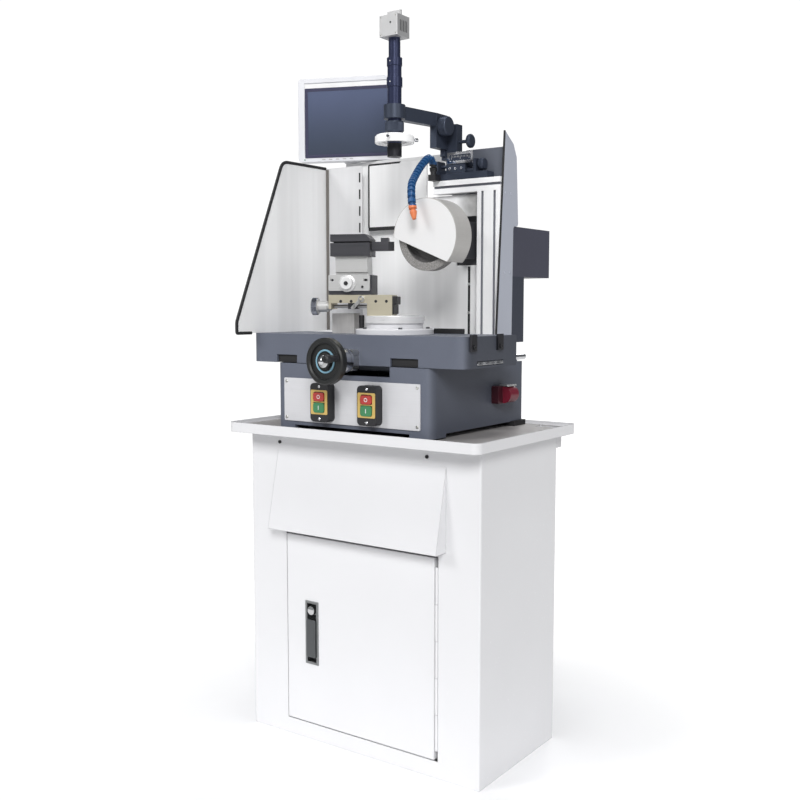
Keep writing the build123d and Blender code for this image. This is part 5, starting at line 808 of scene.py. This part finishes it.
def spun(rows, steps):
    """Rows of (radius, height) carried round z: (r cos a, r sin a, h). A radius may vary with the angle."""
    angle = np.linspace(0.0, 2 * np.pi, steps + 1)
    radius = np.stack([np.broadcast_to(row[0], angle.shape) for row in rows])
    lift = np.array([row[1] for row in rows])[:, None] + 0 * angle
    return np.stack([radius * np.cos(angle), radius * np.sin(angle), lift], axis=-1)


def rounded(width, height, corner, steps=5):
    """A rounded rectangle as a closed loop: a quarter circle at one corner, mirrored to the other three."""
    angle = np.linspace(0.0, np.pi / 2, steps)
    middle = (width / 2 - corner, height / 2 - corner)
    arc = corner * np.column_stack([np.cos(angle), np.sin(angle)]) + middle
    flipped = arc[::-1]
    return np.concatenate([arc, flipped * (-1, 1), -arc, flipped * (1, -1), arc[:1]])


def lifted(loops, lifts):
    """Flat loops stacked at their heights into one grid."""
    return np.stack([np.column_stack([loop, np.full(len(loop), lift)]) for loop, lift in zip(loops, lifts)])


def plate(width, height, corner, thickness, bevel=0.4):
    """A plate with a bevelled front edge, closed in the middle of both faces."""
    slim = rounded(width - 2 * bevel, height - 2 * bevel, max(corner - bevel, 0.05))
    full = rounded(width, height, corner)
    loops = [0 * full, full, full, slim, 0 * full]
    return lifted(loops, [0, 0, thickness - bevel, thickness, thickness])


def window(outer, hole, thickness):
    """A plate with a window: the loops of hole and outside, each a (width, height, corner), are joined."""
    inner = rounded(*hole)
    edge = rounded(*outer)
    return lifted([inner, edge, edge, inner, inner], [0, 0, thickness, thickness, 0])


def socket_screw(radius, height):
    """Cap screw: a chamfered drum with a six-sided pit of radius s / cos(a mod 60 - 30) at angle a."""
    steps = 24
    angle = np.linspace(0.0, 2 * np.pi, steps + 1)
    pit = 0.5 * radius / np.cos(angle % (np.pi / 3) - np.pi / 6)
    rows = [(0, 0), (radius, 0), (radius, 0.85 * height), (0.88 * radius, height), (pit, height),
            (pit, 0.4 * height), (0, 0.4 * height)]
    return spun(rows, steps)


def cross_screw(radius, height):
    """Pan head: a flattened dome over the share of the radius, sunk where the cross for the driver lies."""
    share = np.linspace(1.0, 0.0, 9)[:, None]
    angle = np.linspace(0.0, 2 * np.pi, 33)[None, :]
    x = radius * share * np.cos(angle)
    y = radius * share * np.sin(angle)
    narrow = np.minimum(np.abs(x), np.abs(y)) < 0.15 * radius
    inside = np.maximum(np.abs(x), np.abs(y)) < 0.6 * radius
    dome = height * np.sqrt(1.04 - share ** 2) - 0.55 * height * (narrow & inside)
    head = np.stack([x, y, dome], axis=-1)
    foot = head[:1] * (1, 1, 0)
    return np.concatenate([0 * foot, foot, head])


def knurled(radius, length, count, depth, core):
    """A ribbed sleeve: r = R - d (1 - cos(n a)) / 2, bevelled at both ends and closed on its core."""
    steps = 4 * count
    angle = np.linspace(0.0, 2 * np.pi, steps + 1)
    rib = radius - depth * (0.5 - 0.5 * np.cos(count * angle))
    rows = [(core, 0), (rib - depth, 0), (rib, depth), (rib, length - depth), (rib - depth, length),
            (core, length), (core, 0)]
    return spun(rows, steps)


def eased(points, radii, steps=9):
    """A flat path with eased corners: from a to b beside corner p it is (1-s)^2 a + 2s(1-s) p + s^2 b."""
    points = np.array(points, float)
    corner = points[1:-1]
    before = points[:-2] - corner
    after = points[2:] - corner
    before = before / np.linalg.norm(before, axis=1, keepdims=True)
    after = after / np.linalg.norm(after, axis=1, keepdims=True)
    between = np.arccos((before * after).sum(axis=1, keepdims=True))
    reach = np.array(radii, float)[:, None] / np.tan(between / 2)
    start = (corner + reach * before)[:, None]
    end = (corner + reach * after)[:, None]
    s = np.linspace(0.0, 1.0, steps)[None, :, None]
    arcs = (1 - s) ** 2 * start + 2 * s * (1 - s) * corner[:, None] + s ** 2 * end
    return np.concatenate([points[:1], arcs.reshape(-1, points.shape[1]), points[-1:]])


def carried(loop, path, side):
    """A closed profile carried along a flat path: path + x side + y (side x ahead), closed at both ends."""
    side = np.array(side, float)
    ahead = np.gradient(path, axis=0)
    ahead = ahead / np.linalg.norm(ahead, axis=1, keepdims=True)
    across = np.cross(side, ahead)
    rings = path[:, None] + loop[None, :, :1] * side + loop[None, :, 1:] * across[:, None]
    ends = np.broadcast_to(path[[0, -1], None], (2, *rings.shape[1:]))
    return np.concatenate([ends[:1], rings, ends[1:]])[None]


print("shared shapes ready")

# %% [markdown]
# ## Rubber edging
# The splash guard is thin sheet, so its free edges carry a black rubber strip pressed over them, and the
# panel behind the wheel has the same along its left and top. A strip is one small profile carried along the
# edge. The corners of the path are eased with parabolas, which follow the sheet's own rounded corners
# closely. The side plate has a thinner strip on its front edge. A dark lip below the upper panel and a grey
# strip in the fold of the guard are painted shade.

# %% Press on the edging
EDGE_PROFILE = rounded(6.0, 7.5, 2.6)
THIN_PROFILE = rounded(5.0, 5.0, 1.8)
SIDE_PROFILE = rounded(4.4, 4.4, 1.6)
EDGE_STOP = 3.0
EDGE_IN = 1.5
GUARD_TOP_FRONT = -80.0
GUARD_KINK = 26.0
GUARD_CORNERS = (28.0, 28.0, 4.0)
GUARD_HALF = 1.0
TABLE_GAP = 1.0
UPPER_LEFT = -168.0
UPPER_BOTTOM = 1212.0
UPPER_CORNERS = (3.0,)
TRIM_END = -74.0
SHADE_LIP = (222.0, 9.0, 1.0, 1.6)
SHADE_LIP_X = -57.0
SHADE_LIP_Z = 1208.5
SIDE_FRONT = ((66.0, 889.0), (101.0, 1413.0))
FOLD_SHADE = (9.0, 402.0, 0.8, 1.2)
FOLD_ASIDE = 6.5
FOLD_IN = 2.0

route = [(guard_high[1] - EDGE_STOP, guard_high[2]), (GUARD_TOP_FRONT, guard_high[2]),
         (guard_low[1], guard_low[2] + GUARD_KINK), (guard_low[1], guard_low[2]),
         (saddle_low[1] - TABLE_GAP, guard_low[2])]
flat = eased(route, GUARD_CORNERS)
path = np.column_stack([np.full(len(flat), guard_low[0] + GUARD_HALF), flat])
piece("guard_edging", [carried(EDGE_PROFILE, path, (1, 0, 0))], "rubber", "saddle")

panel_low, panel_high = corners("back_panel")
route = [(UPPER_LEFT, UPPER_BOTTOM), (UPPER_LEFT, panel_high[2]), (TRIM_END, panel_high[2])]
flat = eased(route, UPPER_CORNERS)
path = np.column_stack([flat[:, 0], np.full(len(flat), panel_low[1] + EDGE_IN), flat[:, 1]])
# A dark lip hangs below the upper panel: painted shade of the step between the sheets.
shade_lip = at(plate(*SHADE_LIP), [(SHADE_LIP_X, panel_low[1], SHADE_LIP_Z)], FRONT)
piece("panel_edging_and_shade_lip", [carried(THIN_PROFILE, path, (0, 1, 0)), shade_lip], "rubber", "frame")

path = np.array([(plate_high[0] - EDGE_IN, y, z) for y, z in SIDE_FRONT])
piece("side_edging", [carried(SIDE_PROFILE, path, (1, 0, 0))], "rubber", "frame")
# A grey strip in the guard's fold is painted shade.
fold = [(guard_low[0] + FOLD_ASIDE, guard_high[1] - FOLD_IN, (guard_low[2] + guard_high[2]) / 2)]
piece("guard_fold_shade", [at(plate(*FOLD_SHADE), fold, FRONT)], "fold_shade", "saddle")

# %% [markdown]
# ## Wipers, strips and slots
# Flat rubber wipers close the two openings in the table's front. A dark strip on the table's back edge, a
# thin dark strip on the back panel beside the post and a small dark plate in each slot of the guard's
# return are painted shade of the gaps and the slots.

# %% Fit the wipers and the painted shade
BACK_SHADE = (81.0, 12.0, 1.0, 4.0)
BACK_SHADE_X = 123.5
BACK_SHADE_IN = 1.0
BACK_SHADE_LIFT = 5.5
NOTCHES = ((-183.5, 61.0), (144.0, 72.0))
NOTCH_HEIGHT = 18.0
NOTCH_DEPTH = 7.0
NOTCH_AIR = 0.6
GAP_SHADE = (6.0, 212.0, 0.6, 1.0)
GAP_SHADE_X = 115.0
GAP_SHADE_Z = 1005.0
PANEL_FACE = 113.0
SLOT = (4.6, 23.6)
SLOT_X = -185.5
SLOT_LOW = 1200.8
SLOT_STEP = 40.8
SLOT_SINK = 0.2

# The dark strip on the table's back edge is painted shade of the gap to the back panel.
back_shade = at(plate(*BACK_SHADE), [(BACK_SHADE_X, saddle_high[1] - BACK_SHADE_IN, saddle_top + BACK_SHADE_LIFT)], FRONT)
sill = (saddle_low[1] + NOTCH_DEPTH, saddle_low[2] + NOTCH_HEIGHT / 2)
flaps = [at(plate(width - NOTCH_AIR, NOTCH_HEIGHT - NOTCH_AIR, 0.5, 2.0), [(x, *sill)], FRONT)
         for x, width in NOTCHES]
piece("saddle_wipers_and_back_shade", [back_shade, *flaps], "rubber", "saddle")
# A thin dark strip on the back panel beside the post: painted shade of the gap there.
gap_shade = at(plate(*GAP_SHADE), [(GAP_SHADE_X, PANEL_FACE, GAP_SHADE_Z)], FRONT)
piece("panel_gap_shade", [gap_shade], "rubber", "frame")
# Dark plates in the slots of the guard's return: painted shade.
slots = spread(SLOT_X, guard_high[1] - SLOT_SINK, SLOT_LOW + SLOT[1] / 2 + SLOT_STEP * np.arange(4))
slot_shade = plate(*SLOT, 0.4, 1.2, 0.2)
piece("guard_slot_shade", [at(slot_shade, slots, FRONT)], "rubber", "saddle")

# %% [markdown]
# ## Switches
# Each switch is a black box with a yellow face plate round its two buttons. The plate is a flat frame with
# a window, and a narrow bridge of the same sheet parts the buttons. The marks for off and on, a ring and a
# bar, ride on the buttons themselves, so that they go in with them.

# %% Fit the switch plates and marks
SWITCH_X = 65.5
PLATE_OUTER = (47.0, 54.0, 3.0)
PLATE_HOLE = (31.6, 46.2, 5.0)
PLATE_LIFT = 44.0
PLATE_THICKNESS = 0.9
BRIDGE = (32.0, 2.6, 0.5)
BRIDGE_LIFT = 44.8
OFF_RING = [(3.0, 0), (4.4, 0), (4.4, 0.4), (3.0, 0.4), (3.0, 0)]
ON_BAR = (1.7, 9.0, 0.6, 0.4, 0.1)

switch_low, switch_high = corners("switch_housings")
centres = spread((-SWITCH_X, SWITCH_X), switch_low[1], switch_low[2] + PLATE_LIFT)
bridges = spread((-SWITCH_X, SWITCH_X), switch_low[1], switch_low[2] + BRIDGE_LIFT)
plates = [at(window(PLATE_OUTER, PLATE_HOLE, PLATE_THICKNESS), centres, FRONT),
          at(plate(*BRIDGE, PLATE_THICKNESS), bridges, FRONT)]
piece("switch_plates", plates, "yellow", "frame")
for body in ("wheel_stop", "wheel_start", "pump_stop", "pump_start"):
    low, high = corners(body + "_button")
    mark = spun(OFF_RING, 28) if body.endswith("stop") else plate(*ON_BAR)
    middle = ((low[0] + high[0]) / 2, low[1], (low[2] + high[2]) / 2)
    piece(body + "_mark", [at(mark, [middle], FRONT)], "white", body)

# %% [markdown]
# ## Handwheel and dials
# The handwheel shows a pale blue ring in its dish and a bright nut on its hub, and behind it runs a
# polished dial with engraved lines. The small dial of the cross slide has its lines on the flat of its
# flange.

# %% Make the dials
BLUE_RING = [(21.6, 0), (21.6, 2.0), (22.4, 2.8), (24.6, 2.8), (25.4, 2.0), (25.4, 0), (21.6, 0)]
HUB_WASHER = [(0, 0), (13.0, 0), (13.0, 1.4), (11.4, 2.2), (0, 2.2)]
HUB_CAP = [(0, 1.5), (8.5, 1.5), (8.5, 6.0), (7.4, 8.0), (5.0, 9.2), (0, 9.8)]
WHEEL_FRONT = -290.0
WHEEL_DISH = 7.0
WHEEL_DIAL_RADIUS = 27.0
WHEEL_DIAL_IN = 8.0
WHEEL_LINE = (0.5, 5.0, 0.1, 0.25, 0.05)
WHEEL_LINES = 80
LINE_SINK = 0.1
WORK_DIAL = (-62.0, 1068.6)
DIAL_FRONT = -131.0
DIAL_FLANGE = -121.5
DIAL_CIRCLE = 16.9
DIAL_LINE = (0.45, 2.4, 0.1, 0.6, 0.05)
DIAL_LINES = 40

wheel_centre = ((wheel_low[0] + wheel_high[0]) / 2, (wheel_low[2] + wheel_high[2]) / 2)
dish = [(wheel_centre[0], WHEEL_FRONT + WHEEL_DISH, wheel_centre[1])]
hub = [(wheel_centre[0], WHEEL_FRONT, wheel_centre[1])]
piece("handwheel_ring", [at(spun(BLUE_RING, 64), dish, FRONT)], "sky_blue", "handwheel")
nut = [at(spun(HUB_WASHER, 40), hub, FRONT), at(spun(HUB_CAP, 6), hub, FRONT)]
piece("handwheel_nut", nut, "chrome", "handwheel")
drum = (wheel_centre[0], wheel_high[1] - WHEEL_DIAL_IN, wheel_centre[1])
lines = ring_of(plate(*WHEEL_LINE), drum, FRONT, WHEEL_DIAL_RADIUS - LINE_SINK, WHEEL_LINES, False)
piece("handwheel_lines", [lines], "black", "handwheel")

dial = swung(WORK_DIAL[0], DIAL_FLANGE, WORK_DIAL[1])
marks = ring_of(plate(*DIAL_LINE), dial, WORK_FRONT, DIAL_CIRCLE, DIAL_LINES, True)
screw = at(socket_screw(4.6, 2.4), [swung(WORK_DIAL[0], DIAL_FRONT, WORK_DIAL[1])], WORK_FRONT)
piece("dial_marks", [marks, screw], "black", "dial")

# %% [markdown]
# ## Grips
# Knobs that fingers turn are knurled: the radius goes in and out as a cosine round the knob. The ribs are
# real shape here, because a bump alone would leave the outline smooth. Each row of the table gives the foot
# of a sleeve, its face, radius, length and number of ribs, and then its finish, body and slot.

# %% Knurl the grips
GRIP_PROUD = 0.9
GRIP_CORE = 0.6
RIB_DEPTH = 0.8
GRIPS = {
    "slide_knob_grip": ([swung(-151.5, -80.0, 1017.8)], WORK_RIGHT, 18.6, 13.0, 52,
                        "dark_chrome", "slide_knob", "bright_chrome"),
    "focus_grip": ([(69.5, 64.0, 1430.3)], RIGHT, 21.0, 19.0, 60, "dye", "focus_knob", "black_plastic"),
    "stage_grips": (spread((24.0, 150.0), 103.0, 1344.0), RIGHT, 12.0, 10.0, 40,
                    "dye", "stage_knob", "black_metal"),
    "thumb_grip": ([(118.5, 104.0, 1398.3)], RIGHT, 15.0, 7.0, 30, "dye", "thumb", "black_plastic"),
    "zoom_grip": ([(*ROTARY_AXIS, 1402.8)], TOP, 20.0, 19.0, 64, "dye", "zoom", "black_plastic"),
}
for name, (feet, face, radius, length, count, look, body, slot) in GRIPS.items():
    sleeve = knurled(radius + GRIP_PROUD, length, count, RIB_DEPTH, radius - GRIP_CORE)
    piece(name, [at(sleeve, feet, face)], look, body)

# %% [markdown]
# ## Screws
# A machine is held together by screws, and their heads are what makes a bare solid look built. Two kinds
# are enough: cap screws with a six-sided pit on the slides and the head, and domed ones with a cross on
# sheet metal. They are listed by where they sit, and every list becomes one piece on the body that carries
# it. The screws of the bed lie almost flush, because the clamp lever sweeps over them.

# %% Drive the screws
CABINET_FRONT = -170.0
BED_FRONT = -110.0
SLIDE_FRONT = -116.0
SLIDE_STEP = SLIDE_FRONT + 3.4
CLIP_PROUD = 5.0
FLANGE_CIRCLE = 76.0
FLANGE_ANGLES = (45.0, 135.0, 245.0, 315.0)
bracket_low, bracket_high = corners("feed_bracket")
panel_face, panel_end = corners("switch_panel")
camera_low, camera_high = corners("camera")
cover_high = corners("rear_cover")[1]

SCREWS = {
    "panel_screws": (cross_screw(3.6, 1.7), FRONT, "zinc", "frame", "zinc",
                     spread((-181, 181), panel_face[1], (panel_face[2] + 8, panel_end[2] - 8))),
    "switch_screws": (cross_screw(3.4, 1.6), FRONT, "chrome", "frame", "bright_chrome",
                      spread((-SWITCH_X, SWITCH_X), switch_low[1], (switch_low[2] + 7, switch_high[2] - 7))),
    "cabinet_screws": (socket_screw(4.0, 3.0), FRONT, "black", "frame", "black_plastic",
                       spread((-229, 187), CABINET_FRONT, 701.0)),
    "bed_screws": (socket_screw(3.3, 0.25), WORK_FRONT, "black", "rotary", "black_plastic",
                   [swung(x, BED_FRONT, 1029.0) for x in (-79, -55, 1, 25)]),
    "slide_plate_screws": (socket_screw(2.7, 3.0), WORK_FRONT, "black", "lower_slide", "black_plastic",
                           [swung(-96.5, SLIDE_STEP, 1076.1), swung(-20.5, SLIDE_STEP, 1076.1),
                            swung(-28.0, SLIDE_FRONT, 1061.0)]),
    "clip_screws": (socket_screw(4.6, 3.2), RIGHT, "black", "saddle", "black_plastic",
                    spread(saddle_high[0] + CLIP_PROUD, (-168.0, -60.0), 934.0)),
    "bracket_screws": (socket_screw(2.8, 2.2), FRONT, "black", "saddle", "black_plastic",
                       spread((bracket_low[0] + 5, bracket_high[0] - 5), bracket_low[1],
                              (bracket_low[2] + 5, bracket_high[2] - 5))),
    "flange_screws": (socket_screw(4.4, 3.6), TOP, "dark_steel", "saddle", "dark_steel",
                      circle(ROTARY_AXIS, FLANGE_CIRCLE, FLANGE_ANGLES, 968.0)),
    "camera_screws": (cross_screw(1.7, 0.9), FRONT, "zinc", "focus", "zinc",
                      spread((camera_low[0] + 4.5, camera_high[0] - 4.5), camera_low[1],
                             (camera_low[2] + 4.5, camera_low[2] + 40.5))),
    "back_panel_screws": (cross_screw(3.4, 1.6), FRONT, "zinc", "frame", "zinc",
                          spread(GAP_SHADE_X, PANEL_FACE - GAP_SHADE[3], (935, 1003, 1070))
                          + spread(-183.0, PANEL_FACE, (930, 1060, 1190))),
    "cover_screws": (cross_screw(3.8, 1.8), BACK, "zinc", "frame", "zinc",
                     spread((62, 200), cover_high[1], (1099, 1190))),
    "side_plate_screws": (cross_screw(3.6, 1.4), RIGHT, "plate", "frame", "plate_grey",
                          spread(plate_high[0], (106, 130), (915, 1095, 1275))),
}
for name, (shape, face, look, body, slot, places) in SCREWS.items():
    piece(name, [at(shape, places, face)], look, body)

# %% [markdown]
# ## Louvres of the rear cover
# The drive in the rear cover needs air. Its back has two columns of narrow louvres, shown as thin dark bars
# of painted shade.

# %% Cut the louvres
LOUVRE = (52.0, 3.0, 1.4, 0.5, 0.2)
BAR_SINK = 0.1
bars = spread((100, 162), cover_high[1] - BAR_SINK, range(1120, 1180, 9))
piece("cover_louvre_shade", [at(plate(*LOUVRE), bars, BACK)], "black", "frame")

# %% [markdown]
# ## Screen
# A flush white sheet fills the recess of the CAD case, because the real screen sits a little lower and is
# less tall. The screen is a sheet of dark glass on that face, with a dark frame round it. The monitor
# stands turned, so its face is given by its own right-hand direction.

# %% Fit the screen
MONITOR_PIVOT = np.array([-247.5, 135.5, 0.0])
MONITOR_YAW = np.radians(22.0)
MONITOR_REACH = 47.0
MONITOR_DEPTH = 28.0
RECESS = (223.4, 176.4, 1.0, 2.0, 0.1)
RECESS_MIDDLE = 105.5
SCREEN = (222.0, 171.5)
SCREEN_LIFT = 11.5
SCREEN_BORDER = 8.0

across = np.array([np.cos(MONITOR_YAW), np.sin(MONITOR_YAW), 0.0])
towards = np.array([np.sin(MONITOR_YAW), -np.cos(MONITOR_YAW), 0.0])
face = (across, (0, 0, 1))
rear = (-across, (0, 0, 1))
monitor_low = corners("monitor")[0]
low_z = (monitor_low[2] + SCREEN_LIFT) * MM
top_z = (monitor_low[2] + SCREEN_LIFT + SCREEN[1]) * MM


def on_monitor(x, lift, depth):
    """A point of the monitor: x to its right, lift above its lower edge, depth in front of its pivot."""
    return MONITOR_PIVOT + x * across + depth * towards + (0, 0, monitor_low[2] + lift)


def dark_glass(tree):
    """Unlit display: blue grey that pales towards the top as a painted reflection, with a faint drift,
    smooth as glass.
    """
    painted_reflection = tree.ramp(tree.axis("Z"), low_z, top_z)
    drift = tree.noise(7.0, 2.0)
    shade = tree.mix(painted_reflection, paint(68, 76, 92), paint(92, 101, 128))
    shade = tree.mix(drift * 0.3, shade, paint(50, 56, 68))
    return Look(shade, drift * 0.06 + 0.2, 0.0, drift * 0.00001)


FINISH["glass"] = finish("dark_display_glass", dark_glass, wear=0.0)
inlay = at(plate(*RECESS), [on_monitor(0, RECESS_MIDDLE, MONITOR_REACH - RECESS[3])], face)
piece("display_inlay", [inlay], "white", "monitor")
middle = on_monitor(0, SCREEN_LIFT + SCREEN[1] / 2, MONITOR_REACH)
glass = plate(SCREEN[0] - SCREEN_BORDER, SCREEN[1] - SCREEN_BORDER, 1.0, 0.4, 0.1)
piece("display_glass", [at(glass, [middle], face)], "glass", "monitor")
hole = (SCREEN[0] - 2 * SCREEN_BORDER, SCREEN[1] - 2 * SCREEN_BORDER, 0.6)
gasket = window((*SCREEN, 1.0), hole, 0.8)
piece("display_gasket", [at(gasket, [middle], face)], "frame", "monitor")

# %% [markdown]
# ## Keys and vents of the monitor
# A row of small keys and a green lamp sit below the screen. The back has the usual vent slots, drawn as
# thin dark bars of painted shade sunk into the case.

# %% Fit the keys and vents
KEY = (9.0, 2.8, 1.2, 0.8, 0.3)
KEY_XS = (-62, -44, -26, -8, 10)
KEY_LIFT = 7.5
POWER_LAMP = (3.0, 3.0, 1.4, 0.7, 0.3)
POWER_LAMP_X = -112
VENT = (72.0, 2.6, 1.2, 0.5, 0.2)

keys = [on_monitor(x, KEY_LIFT, MONITOR_REACH) for x in KEY_XS]
piece("monitor_keys", [at(plate(*KEY), keys, face)], "camera", "monitor")
lamp = [on_monitor(POWER_LAMP_X, KEY_LIFT, MONITOR_REACH)]
piece("monitor_lamp", [at(plate(*POWER_LAMP), lamp, face)], "green", "monitor")
behind = MONITOR_REACH - MONITOR_DEPTH - BAR_SINK
vents = [on_monitor(x, lift, behind) for x in (-70, 70) for lift in range(90, 180, 9)]
piece("monitor_vent_shade", [at(plate(*VENT), vents, rear)], "black", "monitor")

# %% [markdown]
# ## Camera, lens and ring light
# The camera has a small sensor hole in its front and slits for cooling at its side. The lens carries bright
# index dots, and the ring light is a white shell with a circle of small lamps underneath and three thumb
# screws that hold it to the lens.

# %% Fit the small parts of the camera
LENS_AXIS = ROTARY_AXIS
CAMERA_MIDDLE = 22.0
HOLE = [(0, 0), (2.2, 0), (2.2, 0.3), (0, 0.3)]
HOLE_ASIDE = 6.0
SLIT = (2.0, 24.0, 0.9, 0.4, 0.1)
SLIT_YS = (-92, -86, -80, -74, -68)
DOME = [(0, 0), (2.0, 0), (2.0, 0.8), (1.6, 1.7), (0.9, 2.2), (0, 2.4)]
DOME_CIRCLE = 27.0
DOME_LIFT = 4.4
STUD = [(0, 0), (2.0, 0), (2.0, 4.0), (4.2, 4.0), (4.2, 10.0), (3.6, 10.8), (0, 10.8)]
STUD_CIRCLE = 43.1
STUD_LIFT = 9.5
STUD_FACE = ((0.34, -0.94, 0), (0.94, 0.34, 0))
DOT = (2.6, 2.6, 1.2, 0.5, 0.2)
LENS_RADIUS = 17.3

middle_z = camera_low[2] + CAMERA_MIDDLE
# The hole and the slits are black plates: painted shade of the openings.
hole = [(LENS_AXIS[0] + HOLE_ASIDE, camera_low[1], middle_z + HOLE_ASIDE)]
slits = spread(camera_high[0], SLIT_YS, middle_z)
opening_shade = [at(spun(HOLE, 24), hole, FRONT), at(plate(*SLIT), slits, RIGHT)]
piece("camera_opening_shade", opening_shade, "black", "focus")
domes = circle(LENS_AXIS, DOME_CIRCLE, np.arange(0, 360, 10.0), light_low[2] + DOME_LIFT)
piece("ring_lamps", [at(spun(DOME, 10), domes, BELOW)], "white", "focus")
centre = (*LENS_AXIS, light_low[2] + STUD_LIFT)
studs = ring_of(spun(STUD, 16), centre, STUD_FACE, STUD_CIRCLE, 3, False)
piece("ring_studs", [studs], "chrome", "focus")
dots = spread(LENS_AXIS[0], LENS_AXIS[1] - LENS_RADIUS, (1508.0, 1552.0))
piece("lens_dots", [at(plate(*DOT), dots, FRONT)], "white", "focus")

# %% [markdown]
# ## Camera stage
# A scale with a bright rim and white lines sits on the front of the camera stage. It stands on a narrower
# foot, which leaves air behind its end, so that it clears the base of the stage when the stage moves.

# %% Fit the scale
STAGE_FRONT = 87.0
SCALE_X = 105.5
SCALE_Z = 1360.0
SCALE_FRONT = STAGE_FRONT - 1.2
RIM_OUTER = (69.0, 26.0, 1.5)
RIM_HOLE = (58.0, 14.0, 1.0)
SCALE_FOOT = (50.0, 22.0, 1.0, 0.4, 0.1)
FOOT_ASIDE = 7.5
SCALE_SHEET = (65.0, 22.0, 1.0, 0.8)
SHORT_LINE = (0.7, 4.0, 0.2, 0.3, 0.1)
LONG_LINE = (0.8, 8.0, 0.2, 0.3, 0.1)

rim = at(window(RIM_OUTER, RIM_HOLE, 2.0), [(SCALE_X, SCALE_FRONT, SCALE_Z)], FRONT)
piece("scale_rim", [rim], "chrome", "stage")
foot = at(plate(*SCALE_FOOT), [(SCALE_X - FOOT_ASIDE, STAGE_FRONT, SCALE_Z)], FRONT)
sheet = at(plate(*SCALE_SHEET), [(SCALE_X, STAGE_FRONT - SCALE_FOOT[3], SCALE_Z)], FRONT)
piece("scale_back", [foot, sheet], "dye", "stage")
short = spread(SCALE_X + np.arange(-24, 25, 4), SCALE_FRONT, SCALE_Z + 3.0)
longer = spread(SCALE_X + np.arange(-24, 25, 24), SCALE_FRONT, SCALE_Z + 1.0)
lines = [at(plate(*SHORT_LINE), short, FRONT), at(plate(*LONG_LINE), longer, FRONT)]
piece("scale_lines", lines, "white", "stage")
lower_row = spread((76, 92, 108), STAGE_FRONT, 1336.0)
piece("stage_screws", [at(socket_screw(3.2, 2.2), lower_row, FRONT)], "chrome", "stage")

# %% [markdown]
# ## Table end and power inlet
# On the right end of the table a bright strip closes the side slot. The slide bed ends in a black cap of
# two steps, and the power inlet has a flat lid.

# %% Fit the last plates
SLOT_STRIP = (106.0, 7.0, 1.0, 3.0, 0.5)
SLOT_STRIP_IN = 2.2
SLOT_STRIP_Y = -95.0
SLOT_STRIP_LIFT = 10.0
BED_END = (38.0, -80.0)
CAP_STEPS = (((56.0, 40.0, 2.0, 4.0, 0.8), 1020.5), ((52.0, 18.0, 2.0, 9.0, 0.8), 1031.0))
INLET_LID = (26.0, 42.0, 3.0, 3.0, 0.8)
LID_ASIDE = 1.0
LID_IN = 20.0
LID_SINK = 0.4

place = (saddle_high[0] - SLOT_STRIP_IN, SLOT_STRIP_Y, saddle_low[2] + SLOT_STRIP_LIFT)
piece("slot_strip", [at(plate(*SLOT_STRIP), [place], RIGHT)], "chrome", "saddle")
cap = [at(plate(*step), [swung(*BED_END, z)], WORK_RIGHT) for step, z in CAP_STEPS]
piece("bed_cap", cap, "black", "rotary")
place = ((inlet_low[0] + inlet_high[0]) / 2 + LID_ASIDE, inlet_high[1] - LID_IN, inlet_high[2] - LID_SINK)
piece("inlet_lid", [at(plate(*INLET_LID), [place], TOP)], "steel_y", "frame")
